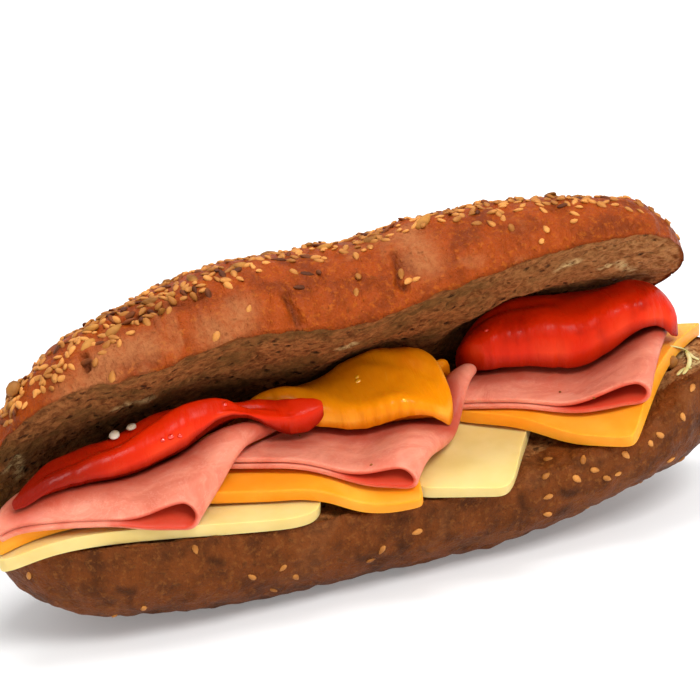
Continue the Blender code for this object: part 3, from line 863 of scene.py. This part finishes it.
# %% Pepper materials
def pepper_finish(name, flesh, deep, pale, shade, glow):
    """Roasted pepper flesh under a thin film of oil, with fine streaks across the strip."""
    material, tree, shader, where = new_material(name)
    cloudy = grain(tree, where, 14, 3, 0.6)
    streaks = grain(tree, where, 4, 4, 0.65, stretch=(2.0, 0.4, 0.4), distortion=0.8)
    colour = mix(tree, between(tree, cloudy, 0.26, 0.5, 0.25, 1), deep, flesh)
    colour = mix(tree, between(tree, streaks, 0.62, 0.8, 0, 0.3), colour, pale)
    colour = mix(tree, painted(tree, "cut"), colour, pale)
    # Painted shade: the underside, and the red strip's left end, take the shade colour
    colour = mix(tree, painted(tree, "under"), colour, shade)
    bump = relief(tree, streaks, 0.3)
    bump = relief(tree, grain(tree, where, 7, 2, stretch=(1.5, 0.7, 0.7)), 0.5, bump)
    feed(tree, shader, {
        "Base Color": colour, "Roughness": between(tree, streaks, 0.3, 0.7, 0.25, 0.4),
        "Specular IOR Level": 0.06, "Coat Weight": 0.08, "Coat Roughness": 0.16, "Subsurface Weight": 0.2,
        "Subsurface Radius": glow, "Subsurface Scale": 2.0 * MM,
        "Normal": relief(tree, grain(tree, where, 1.6, 2), 0.08, bump)})
    return material


finishes["red_pepper"] = pepper_finish(
    "roasted red pepper", "D82804", "A81402", "EC4A20", "701004", (1.0, 0.12, 0.03))
finishes["yellow_pepper"] = pepper_finish(
    "roasted yellow pepper", "EC8A08", "DC7402", "FAB444", "C05C04", (1.0, 0.5, 0.05))
print("pepper materials ready")

# %% Pepper strips
# Node and slot, then the middle line of each strip with its half width and thickness, from left to right
PEPPERS = (
    ("pepper_yellow_back", "yellow_pepper", ((-8, 10, 7, 5), (9, 9, 10, 7), (26, 6, 9, 8))),
    ("pepper_yellow", "yellow_pepper",
     ((-51, 2, 5, 4), (-24, 1, 11, 9), (0, -4.5, 15.5, 9), (20, -10, 14, 6))),
    ("pepper_red_left", "red_pepper",
     ((-116, -26, 4, 3), (-97, -18, 8, 7), (-66, -11, 11, 10.5), (-43, -12.5, 4.2, 3), (-20, -12, 2.4, 2))),
    ("pepper_red_right", "red_pepper",
     ((31, 9, 10, 12), (50, 8, 13, 16), (78, 3, 15, 16), (101, -1, 11, 11.5))),
)


# Folds of each strip: where a fold starts and ends, its height in millimetres and its width. Places run from
# 0 to 1 between the strip's ends and from -1 to 1 between its front and back edges
FOLDS = {
    "pepper_red_left": (((0.4, -0.6), (0.72, -0.55), 1.8, 0.2), ((0.3, -0.2), (0.8, -0.1), -1.5, 0.18),
                        ((0.1, 0.2), (0.6, 0.4), 1.0, 0.25), ((0.12, -0.3), (0.4, -0.5), -0.8, 0.15)),
    "pepper_red_right": (((0.05, 0.1), (0.5, -0.25), -0.8, 0.16), ((0.5, -0.3), (0.95, 0.1), 0.7, 0.2)),
    "pepper_yellow": (((0.62, 0.4), (0.98, -0.1), -1.0, 0.14), ((0.1, -0.5), (0.5, -0.6), 0.5, 0.25)),
    "pepper_yellow_back": (((0.2, 0.0), (0.8, 0.0), -0.6, 0.25),),
}


def fold_height(u, v, folds):
    """Height that the folds add at each point of a strip."""
    added = np.zeros(u.shape)
    for (start, v_start), (end, v_end), height, width in folds:
        t = ((u + 1) / 2 - start) / (end - start)
        line = v_start + (v_end - v_start) * np.clip(t, 0, 1)
        window = smooth_step(t, -0.15, 0.15) * smooth_step(1 - t, -0.15, 0.15)
        added += height * window * np.exp(-((v - line) / width) ** 2)
    return added


# Sharpness of a strip's corners, the height that its front edge curls up and the share of its thickness that
# its cut edges keep
CORNER_POWER, CURL, EDGE_SHARE = 3.2, 2.4, 0.34


def pepper_strip(name, material, rows_of):
    """Soft strip with a broad crowned top and sharper cut edges."""
    columns, rows = 90, 56
    u, v = rounded_square(columns, rows, CORNER_POWER)
    table = np.array(rows_of, float)
    reach = np.linspace(-1, 1, len(table))
    x, y, width, depth = (along(u, np.column_stack([reach, table[:, k]])) for k in range(4))
    ragged = 1 + 0.05 * lumps(x, 0.0, 20.0, 7, 2.0) + 0.03 * lumps(x, 0.0, 50.0, 2.5, 2.0)
    y = y + v * width * ragged
    radius = (np.abs(u) ** CORNER_POWER + np.abs(v) ** CORNER_POWER) ** (1 / CORNER_POWER)
    radius = np.clip(radius, 0, 1)
    thick = depth * (EDGE_SHARE + (1 - EDGE_SHARE) * np.sqrt(1 - radius ** 3.6))
    # The front edge curls up off the ham, which puts a dark line of shade under it
    curl = CURL * smooth_step(-v, 0.5, 1.0) * smooth_step(1 - np.abs(u), 0.05, 0.35)
    low_z = pile.read(pile.drape(5, 2), x, y) + curl
    smooth = pile.read(pile.drape(11, 5), x, y)
    # Thick flesh bridges the dips under it
    high_z = np.maximum(low_z + 0.45 * thick, 0.25 * low_z + 0.75 * smooth + thick)
    high_z = high_z + (fold_height(u, v, FOLDS[name]) + lumps(x, y, 40.0, 9, 0.9)) * (1 - radius ** 6)
    points = np.concatenate([np.dstack([x, y, z]).reshape(-1, 3) for z in (low_z, high_z)])
    points = pile.clear(points)
    pile.add(points)
    piece = make_piece(name + "_strip", points, plate_faces(columns, rows), material)
    edge = smooth_step(radius.ravel(), 0.95, 1.0) * smooth_step(lumps(x, y, 30.0, 9, 1.0), -0.3, 0.3).ravel()
    paint(piece, "cut", np.concatenate([edge * 0, edge]) * 0.5)
    # The left red strip darkens towards its left end, deep in the roll's shade
    dark_share = 0.9 if name == "pepper_red_left" else 0.0
    dark_end = dark_share * (1 - smooth_step(x, -106.0, -72.0)).ravel()
    # The whole underside is painted in the shade colour
    paint(piece, "under", np.concatenate([np.full(x.size, 0.8), dark_end]))
    soften_edges(piece, 0.5, 2)
    return piece


for name, slot, rows_of in PEPPERS:
    pieces[name] = (pepper_strip(name, finishes[slot], rows_of), slot)
    print(name, len(pieces[name][0].data.polygons), "faces")

# %% Painted shade of the peppers on the ham
# Shade under the peppers is painted on the ham: darker and redder close to each strip
PEPPER_SHADE_REACH = 8.0 * MM
spots = [vertex.co for name, *_ in PEPPERS for vertex in pieces[name][0].data.vertices]
flesh = KDTree(len(spots))
for number, spot in enumerate(spots):
    flesh.insert(spot, number)
flesh.balance()
for name, *_ in HAM_SLICES:
    slice_points = [vertex.co for vertex in pieces[name][0].data.vertices]
    away_from = np.array([flesh.find(point)[2] for point in slice_points])
    paint(pieces[name][0], "juice", 0.8 * (1 - smooth_step(away_from, 0.1 * PEPPER_SHADE_REACH, PEPPER_SHADE_REACH)))
    print(name, int((away_from < PEPPER_SHADE_REACH).sum()), "points shaded")

# %% [markdown]
# ## Closing the roll
#
# The top half rests on the pile: only the points of its cut face that would sink into the fillings are
# raised, as soft crumb gives way. Then the camera's sight lines find the places on the crust and the crumb
# where the photograph shows a crack, a floury patch, a toasted spot or a smear of sauce, and those places are
# painted.

# %% Top half
top_points = top_grid()
face_part = top_points[:, CRUST_POINTS:].reshape(-1, 3)
top_points[:, CRUST_POINTS:] = pile.clear(face_part).reshape(top_points[:, CRUST_POINTS:].shape)
no_lap = np.zeros(top_points.shape[:2], bool)
top_points = roughen(top_points, TOP_RELIEF_SEED, no_lap)
print("top half", [round(float(v), 1) for v in np.ptp(top_points.reshape(-1, 3), axis=0)], "mm")

# %% Marks on the bread
def tree_of(grid):
    """Search tree over a grid of rings, for sight lines."""
    return BVHTree.FromPolygons(grid.reshape(-1, 3).tolist(), ring_faces(*grid.shape[:2])[0])


def hit(search, px, py):
    """Place and outward direction where a sight line meets a surface, or None."""
    place, normal, _, _ = search.ray_cast(eye, sight_line(px, py))
    if place is None:
        return None
    return place, normal if normal.dot(sight_line(px, py)) < 0 else -normal


def near_path(grid, search, path, width):
    """1 on a path of picture points laid on the surface, falling to 0 at width millimetres from it."""
    places = [hit(search, *p) for p in path]
    places = np.array([p[0] for p in places if p], float)
    if not len(places):
        return np.zeros(grid.shape[:2])
    dense = [places[0]] if len(places) == 1 else []
    for a, b in zip(places, places[1:]):
        dense += [a + (b - a) * t for t in np.linspace(0, 1, 12)]
    gap = np.full(grid.shape[:2], 1e9)
    for p in dense:
        gap = np.minimum(gap, np.linalg.norm(grid - p, axis=-1))
    return 1 - smooth_step(gap, 0.0, width)


def marks(grid, search, paths, width):
    """Strength of one kind of mark: 1 on any of its paths, falling to 0 at width millimetres from it."""
    return np.max([near_path(grid, search, path, width) for path in paths], axis=0)


def paint_marks(half, name, strength, amount):
    """Paint a kind of mark on a bread half, apart from the two points that close its tips."""
    paint(half, name, np.append(amount * strength.ravel(), [0, 0]))


top_search = tree_of(top_points)
bottom_search = tree_of(bottom_points)
CRACKS = (((286, 297), (291, 308), (299, 324)), ((393, 253), (397, 268), (398, 283), (404, 288)),
          ((103, 327), (134, 318), (167, 306), (201, 295)), ((84, 355), (87, 369)))
FLOURY = (((402, 232), (415, 245), (425, 262)), ((92, 368), (120, 352), (146, 345)), ((70, 395), (105, 378)),
          ((212, 330), (222, 338)), ((236, 322), (240, 310)))
SAUCE = (((118, 409), (148, 400)), ((6, 470), (16, 458), (20, 475)), ((602, 268), (618, 262), (632, 270)),
         ((342, 348), (351, 344)), ((560, 268), (575, 262)))
LOWER_SAUCE = (((672, 350), (686, 354), (698, 362)),)
TOASTED = (((563, 492), (568, 495), (575, 493)), ((521, 497), (523, 506)), ((566, 508), (560, 512)),
           ((400, 545), (404, 548)), ((120, 590), (132, 592)), ((210, 560), (222, 563)))
CRACK_DEPTH = 2.0

# Cracks are cut into the crust and painted dark as the shade inside them
cracked = marks(top_points, top_search, CRACKS, width=1.8)
top_points = top_points - ring_normals(top_points) * (CRACK_DEPTH * cracked)[..., None]
top_bun = bread_half("bread_top", top_points, top_crust, no_lap)
bottom_bun = bread_half("bread_bottom", bottom_points, bottom_crust, bottom_lap)
paint_marks(top_bun, "cracked", cracked, amount=0.85)
paint_marks(top_bun, "floury", marks(top_points, top_search, FLOURY, width=9.0), amount=0.85)
paint_marks(top_bun, "sauce", marks(top_points, top_search, SAUCE, width=3.2), amount=0.8)
paint_marks(bottom_bun, "sauce", marks(bottom_points, bottom_search, LOWER_SAUCE, width=5.0), amount=1.0)
paint_marks(bottom_bun, "cracked", marks(bottom_points, bottom_search, TOASTED, width=2.6), amount=0.75)
pieces["top_bun"] = (top_bun, "top_crust")
pieces["bottom_bun"] = (bottom_bun, "bottom_crust")
print("bread halves", len(top_bun.data.polygons), len(bottom_bun.data.polygons), "faces")

# %% [markdown]
# ## Seeds
#
# About two thousand seeds are stuck to the crown: mostly sesame, some flax and a few sunflower kernels. Each
# kind is one small mesh. A Geometry Nodes tree puts it on every point of a cloud, turns it to stand on the
# crust with a random spin and size, and makes the copies real mesh.

# %% Seed materials
def seed_finish(name, light, dark, rough):
    """Hull of a seed: smooth and faintly mottled."""
    material, tree, shader, where = new_material(name)
    tone = grain(tree, where, 9, 2)
    fine = grain(tree, where, 0.7, 3)
    colour = mix(tree, between(tree, tone, 0.35, 0.65), dark, light)
    colour = mix(tree, between(tree, fine, 0.5, 0.8, 0, 0.3), colour, dark)
    feed(tree, shader, {
        "Base Color": colour, "Roughness": rough, "Specular IOR Level": 0.15, "Subsurface Weight": 0.1,
        "Subsurface Radius": (1.0, 0.6, 0.3), "Subsurface Scale": 1.0 * MM,
        "Normal": relief(tree, fine, 0.05)})
    return material


sesame_hull = seed_finish("toasted sesame hull", "CC8842", "945A22", 0.5)
flax_hull = seed_finish("flax hull", "7C3E16", "4C220A", 0.6)
kernel_skin = seed_finish("sunflower kernel", "AE7430", "7A4A18", 0.6)
print("seed materials ready")

# %% Seed shapes
def seed_shape(name, length, width, height, point):
    """Flat drop-shaped seed in millimetres, pointed at one end by this share."""
    work = bmesh.new()
    bmesh.ops.create_uvsphere(work, u_segments=7, v_segments=5, radius=0.5)
    work.transform(Matrix.Rotation(math.pi / 2, 4, "Y"))
    for vert in work.verts:
        narrow = 1 - point * max(vert.co.x, 0) * 2
        vert.co = Vector((vert.co.x * length, vert.co.y * width * narrow, vert.co.z * height * narrow)) * MM
    mesh = bpy.data.meshes.new(name)
    work.to_mesh(mesh)
    work.free()
    mesh.shade_smooth()
    return bpy.data.objects.new(name, mesh)


# Length, width and height of each kind, and the share by which its point narrows
SHAPE_SIZES = {
    "sesame": (3.5, 2.2, 1.3, 0.5), "flax": (5.0, 2.3, 1.2, 0.45), "kernel": (8.0, 4.2, 2.6, 0.5),
    "ball": (5.2, 4.8, 4.2, 0.1), "pepper_seed": (4.2, 3.4, 1.5, 0.2), "drop": (1.0, 0.9, 0.5, 0.1),
    "crumb": (1.0, 0.8, 0.7, 0.4),
}
shapes = {kind: seed_shape(kind + "_shape", *sizes) for kind, sizes in SHAPE_SIZES.items()}
print("shapes:", ", ".join(shapes))

# %% Geometry Nodes tree that lays seeds
seed_tree = bpy.data.node_groups.new("Lay seeds", "GeometryNodeTree")
for label, kind in (("Geometry", "Geometry"), ("Seed shape", "Object"), ("Smallest", "Float"),
                    ("Largest", "Float"), ("Tilt", "Float"), ("Random seed", "Int"), ("Finish", "Material")):
    seed_tree.interface.new_socket(label, in_out="INPUT", socket_type="NodeSocket" + kind)
seed_tree.interface.new_socket("Geometry", in_out="OUTPUT", socket_type="NodeSocketGeometry")
given = add_node(seed_tree, "NodeGroupInput").outputs
outward = add_node(seed_tree, "GeometryNodeInputNamedAttribute", {"Name": "outward"},
                   data_type="FLOAT_VECTOR").outputs["Attribute"]
stand = add_node(seed_tree, "FunctionNodeAlignRotationToVector", {"Vector": outward}, axis="Z")
lean_low = add_node(seed_tree, "ShaderNodeMath", {0: given["Tilt"], 1: -1.0}, operation="MULTIPLY").outputs[0]
low = add_node(seed_tree, "ShaderNodeCombineXYZ", {"X": lean_low, "Y": lean_low}).outputs[0]
high = add_node(seed_tree, "ShaderNodeCombineXYZ", {"X": given["Tilt"], "Y": given["Tilt"], "Z": 2 * math.pi})
wander = add_node(seed_tree, "FunctionNodeRandomValue",
                  {0: low, 1: high.outputs[0], "Seed": given["Random seed"]}, data_type="FLOAT_VECTOR")
spun = add_node(seed_tree, "FunctionNodeRotateRotation",
                {"Rotation": stand.outputs[0], "Rotate By": wander.outputs[0]}, rotation_space="LOCAL")
sizes = add_node(seed_tree, "FunctionNodeRandomValue",
                 {2: given["Smallest"], 3: given["Largest"], "Seed": given["Random seed"]}, data_type="FLOAT")
shape_info = add_node(seed_tree, "GeometryNodeObjectInfo", {"Object": given["Seed shape"]})
laid = add_node(seed_tree, "GeometryNodeInstanceOnPoints",
                {"Points": given["Geometry"], "Instance": shape_info.outputs["Geometry"],
                 "Rotation": spun.outputs[0], "Scale": sizes.outputs[1]})
real = add_node(seed_tree, "GeometryNodeRealizeInstances", {"Geometry": laid.outputs[0]})
dressed = add_node(seed_tree, "GeometryNodeSetMaterial",
                   {"Geometry": real.outputs[0], "Material": given["Finish"]})
add_node(seed_tree, "NodeGroupOutput", {"Geometry": dressed.outputs[0]})
print("seed tree has", len(seed_tree.nodes), "nodes")


def lay_seeds(name, spots, shape, finish, smallest, largest, tilt, random_seed):
    """Plain mesh of seeds on the spots, which are pairs of place and outward direction in millimetres."""
    cloud = bpy.data.meshes.new(name)
    cloud.from_pydata([tuple(p * MM) for p, _ in spots], [], [])
    layer = cloud.attributes.new("outward", "FLOAT_VECTOR", "POINT")
    layer.data.foreach_set("vector", [c for _, n in spots for c in n])
    seeds = bpy.data.objects.new(name, cloud)
    bpy.context.scene.collection.objects.link(seeds)
    laying = seeds.modifiers.new("lay", "NODES")
    laying.node_group = seed_tree
    wanted = {"Seed shape": shape, "Smallest": smallest, "Largest": largest, "Tilt": tilt,
              "Random seed": random_seed, "Finish": finish}
    for item in seed_tree.interface.items_tree:
        if item.in_out == "INPUT" and item.name in wanted:
            laying[item.identifier] = wanted[item.name]
    apply_modifiers(seeds)
    return seeds


# %% Where seeds lie
# Spots already taken are kept in cells this wide, so that each new one is compared with its neighbours only
CELL = 8.0


def crust_spots(grid, weight, wanted, spacing, rng, taken):
    """Scatter spots over crust points by weight, none nearer than spacing to those taken."""
    normal = ring_normals(grid)
    area = np.linalg.norm(np.cross(np.gradient(grid, axis=0), np.gradient(grid, axis=1)), axis=-1)
    chance = weight * area
    chance[:, CRUST_POINTS:] = 0
    order = rng.choices(range(chance.size), chance.ravel().tolist(), k=wanted * 12)
    places = grid.reshape(-1, 3)
    spots = []
    for pick in order:
        place = Vector(places[pick])
        cell = tuple(int(c // CELL) for c in place)
        around = (taken.get((cell[0] + i, cell[1] + j, cell[2] + k), ())
                  for i in (-1, 0, 1) for j in (-1, 0, 1) for k in (-1, 0, 1))
        if all((place - other).length > spacing for some in around for other in some):
            taken.setdefault(cell, []).append(place)
            spots.append((place, Vector(normal.reshape(-1, 3)[pick])))
        if len(spots) == wanted:
            break
    return spots


rng = random.Random(11)
# Seeds reach this far down the front from the roll's highest line as we see it, in millimetres
SEED_BAND = ((-122, 11), (-95, 9), (-60, 7), (-25, 4.5), (20, 3.5), (60, 4), (85, 4.5), (102, 6))
seen_height = top_points @ np.array(rise)
highest = seen_height[:, :CRUST_POINTS].argmax(axis=1)[:, None]
behind = np.arange(top_points.shape[1])[None, :] > highest
below_crest = np.where(behind, 0, seen_height.max(axis=1)[:, None] - seen_height)
band = along(top_points[..., 0], SEED_BAND)
round_angle = np.degrees(np.linspace(0, math.pi, CRUST_POINTS))
round_angle = np.append(round_angle, np.full(FACE_POINTS, 180.0))[None, :]
crown = (1 - smooth_step(below_crest, band - 2.5, band + 2)) * (1 - smooth_step(round_angle, 140.0, 172.0))
clumps = smooth_step(lumps(top_points[..., 0], top_points[..., 1], 0.0, 12, 1.0), -0.35, 0.3)
clear_of_rim = smooth_step(rim_distance(top_points), 3.0, 5.0)
crown_weight = (crown * (0.45 + 0.55 * clumps) + 0.008) * clear_of_rim
taken = {}
kernels = crust_spots(top_points, crown * clear_of_rim, wanted=90, spacing=6.0, rng=rng, taken=taken)
flax = crust_spots(top_points, crown_weight, wanted=260, spacing=2.9, rng=rng, taken=taken)
sesame = crust_spots(top_points, crown_weight, wanted=1700, spacing=1.75, rng=rng, taken=taken)
# Below they lie thinly, more of them towards the right end and none near the table
under_weight = smooth_step(bottom_points[..., 2], 4.0, 10.0)
under_weight = under_weight * (0.15 + smooth_step(bottom_points[..., 0], -10, 60))
under_sesame = crust_spots(bottom_points, under_weight, wanted=46, spacing=5.0, rng=rng, taken={})
print(len(kernels), "kernels,", len(flax), "flax,", len(sesame), "sesame,", len(under_sesame), "below")

# %% Seeds that the photograph shows one by one
# Picture points of single seeds in front of the crown and on the lower crust
FRONT_SESAME = ((48, 372), (59, 366), (55, 377), (41, 383), (37, 392), (14, 401), (112, 377), (137, 323),
                (216, 337), (249, 309), (294, 272), (356, 293), (401, 274), (416, 279), (546, 229),
                (575, 214), (544, 211), (519, 210), (503, 219), (492, 224), (512, 229), (498, 214),
                (408, 281))
FRONT_FLAX = ((80, 326), (64, 338), (307, 274), (86, 362), (130, 320), (318, 272))
FRONT_KERNELS = ((88, 345), (150, 303), (240, 266))
LOWER_SESAME = ((29, 575), (252, 577), (274, 590), (283, 568), (296, 577), (371, 560), (382, 550),
                (417, 532), (546, 476), (548, 459), (548, 497), (577, 479), (595, 470), (618, 474),
                (626, 455), (660, 435), (656, 475))


def seen_spots(search, places):
    """Place and outward direction where sight lines through picture points meet a surface."""
    return [spot for spot in (hit(search, *p) for p in places) if spot]


sesame += seen_spots(top_search, FRONT_SESAME)
flax += seen_spots(top_search, FRONT_FLAX)
kernels += seen_spots(top_search, FRONT_KERNELS)
under_sesame += seen_spots(bottom_search, LOWER_SESAME)
print(len(sesame), "sesame seeds on top and", len(under_sesame), "below")

# %% Lay every kind of seed
# Spots, shape, finish, smallest and largest scale, tilt in radians, random seed and slot
SEEDS = {
    "kernels_top": (kernels, "kernel", kernel_skin, 0.6, 1.0, 0.4, 1, "top_crust"),
    "flax_top": (flax, "flax", flax_hull, 0.7, 1.05, 0.45, 2, "top_crust"),
    "sesame_top": (sesame, "sesame", sesame_hull, 0.8, 1.1, 0.5, 3, "top_crust"),
    "sesame_bottom": (under_sesame, "sesame", sesame_hull, 0.85, 1.05, 0.1, 4, "bottom_crust"),
}
extras = {}


def lay_all(table):
    """Lay every row of a table of scattered things."""
    for name, (spots, kind, *given_values, slot) in table.items():
        extras[name] = (lay_seeds(name, spots, shapes[kind], *given_values), slot)
        print(name, len(extras[name][0].data.polygons), "faces")


lay_all(SEEDS)

# %% [markdown]
# ## Juice, crumbs and strands
#
# A filled roll is never clean. Juice stands in small drops on the peppers, two pepper seeds were left on the
# red strip, crumbs fell on the slices, and shreds of pale cabbage show at the right end beside a round spice
# seed. The same Geometry Nodes tree lays what is scattered. Shreds are thin tubes along sight lines.

# %% Their materials
def juice(name, colour):
    """Juice of a pepper: a glassy dome of the pepper's colour, seen by its small bright reflection."""
    material, tree, shader, where = new_material(name)
    feed(tree, shader, {
        "Base Color": linear(colour), "Roughness": between(tree, grain(tree, where, 2), 0.3, 0.7, 0.03, 0.09),
        "Specular IOR Level": 0.6, "Coat Weight": 1.0})
    return material


red_juice, yellow_juice = juice("red pepper juice", "E02408"), juice("yellow pepper juice", "FDB21C")
pepper_seed_skin = seed_finish("pale pepper seed", "FFF4E0", "EAD6B4", 0.4)
spice_skin = seed_finish("coriander seed", "A0682E", "6A4018", 0.55)
crumb_flake = seed_finish("crust crumb", "A8642C", "5A2C10", 0.8)
cabbage = seed_finish("pale cabbage shred", "E4DA98", "BCB060", 0.35)
print("materials of the small things ready")

# %% Their places
def search_of(*some):
    """Search tree over finished pieces, in millimetres."""
    points, faces = [], []
    for piece in some:
        start = len(points)
        points += [v.co / MM for v in piece.data.vertices]
        faces += [[start + i for i in face.vertices] for face in piece.data.polygons]
    return BVHTree.FromPolygons(points, faces)


def strand(name, search, path, thick):
    """Thin tube laid on a surface through picture points."""
    spots = seen_spots(search, path)
    steps = np.linspace(0, 1, len(spots))
    centre = np.array([p + n * thick * 0.4 for p, n in spots])
    t = np.linspace(0, 1, 6 * len(spots))
    line = np.column_stack([along(t, np.column_stack([steps, centre[:, k]])) for k in range(3)])
    ahead = np.gradient(line, axis=0)
    side = np.cross(ahead, (0.2, 0.1, 1.0))
    side /= np.linalg.norm(side, axis=1, keepdims=True)
    over = np.cross(side, ahead)
    over /= np.linalg.norm(over, axis=1, keepdims=True)
    radius = (thick / 2 * np.sqrt(np.clip(1 - (2 * t - 1) ** 6, 0.02, 1)))[:, None, None]
    turns = np.linspace(0, 2 * math.pi, 8, endpoint=False)[None, :, None]
    wide, flat = side[:, None] * 1.5, over[:, None] * 0.7
    rings = line[:, None] + radius * (wide * np.cos(turns) + flat * np.sin(turns))
    faces, index, _ = ring_faces(len(rings), 8)
    faces += [index[0].tolist(), index[-1].tolist()]
    return make_piece(name, rings.reshape(-1, 3), faces, cabbage)


strips = [piece for name, (piece, _) in pieces.items() if name.startswith("pepper")]
slices = [piece for name, (piece, _) in pieces.items() if name.startswith(("ham", "cheese"))]
on_strips, on_slices = search_of(*strips), search_of(*slices)
everything = search_of(*strips, *slices, bottom_bun)
# Picture points of each kind. Whole seeds lie on the surface, so they are raised by about half their height
YELLOW_DROPS = ((357, 377), (358, 381), (322, 376), (404, 400))
RED_DROPS = ((163, 440), (171, 437), (180, 436), (225, 404), (240, 402), (486, 330))
CRUMBS = ((371, 465), (594, 398), (300, 436), (560, 392))
PEPPER_SEEDS, PEPPER_SEED_RAISE = ((115, 439), (132, 431)), 1.3
TOP_BALL, END_BALL = (16, 394), (675, 366)
BALL_OUT, BALL_RAISE = 1.0, 0.8
red_drops, yellow_drops = seen_spots(on_strips, RED_DROPS), seen_spots(on_strips, YELLOW_DROPS)
crumbs = seen_spots(on_slices, CRUMBS)
pepper_seeds = [(place + Vector((0, 0, PEPPER_SEED_RAISE)), direction) for place, direction in
                seen_spots(on_strips, PEPPER_SEEDS)]
balls = seen_spots(top_search, (TOP_BALL,)) + seen_spots(everything, (END_BALL,))
balls = [(place + direction * BALL_OUT + Vector((0, 0, BALL_RAISE)), direction) for place, direction in balls]
print(len(red_drops) + len(yellow_drops), "drops,", len(crumbs), "crumbs,", len(pepper_seeds),
      "pepper seeds,", len(balls), "round seeds")

# %% Lay them
lay_all({
    "red_drops": (red_drops, "drop", red_juice, 1.2, 2.0, 0.0, 5, "red_pepper"),
    "yellow_drops": (yellow_drops, "drop", yellow_juice, 1.2, 2.0, 0.0, 5, "yellow_pepper"),
    "crumbs": (crumbs, "crumb", crumb_flake, 0.7, 1.3, 0.5, 6, "top_crust"),
    "pepper_seeds": (pepper_seeds, "pepper_seed", pepper_seed_skin, 0.9, 1.1, 0.4, 7, "pale_cheese"),
    "round_seeds": (balls, "ball", spice_skin, 0.95, 1.05, 0.3, 8, "top_crust"),
})
SHRED_THICK = 1.0
SHREDS = (((670, 347), (678, 348), (686, 352), (693, 358), (699, 361)),
          ((686, 352), (690, 360), (688, 368), (684, 375)), ((677, 376), (684, 370), (692, 369)))
for number, path in enumerate(SHREDS):
    name = f"cabbage_shred_{number + 1}"
    extras[name] = (strand(name, everything, path, SHRED_THICK), "pale_cheese")
for shape in shapes.values():
    bpy.data.objects.remove(shape)
print(len(extras), "kinds of small pieces")

# %% [markdown]
# ## The pieces on the body
#
# Every piece rides on the one body and stands for its imported solid. The seeds were fused to the bread in
# the solids, so their meshes only ride along.

# %% Ride and replace
for name, (piece, slot) in pieces.items():
    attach(piece, "root")
    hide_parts(name)
for piece, slot in extras.values():
    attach(piece, "root")
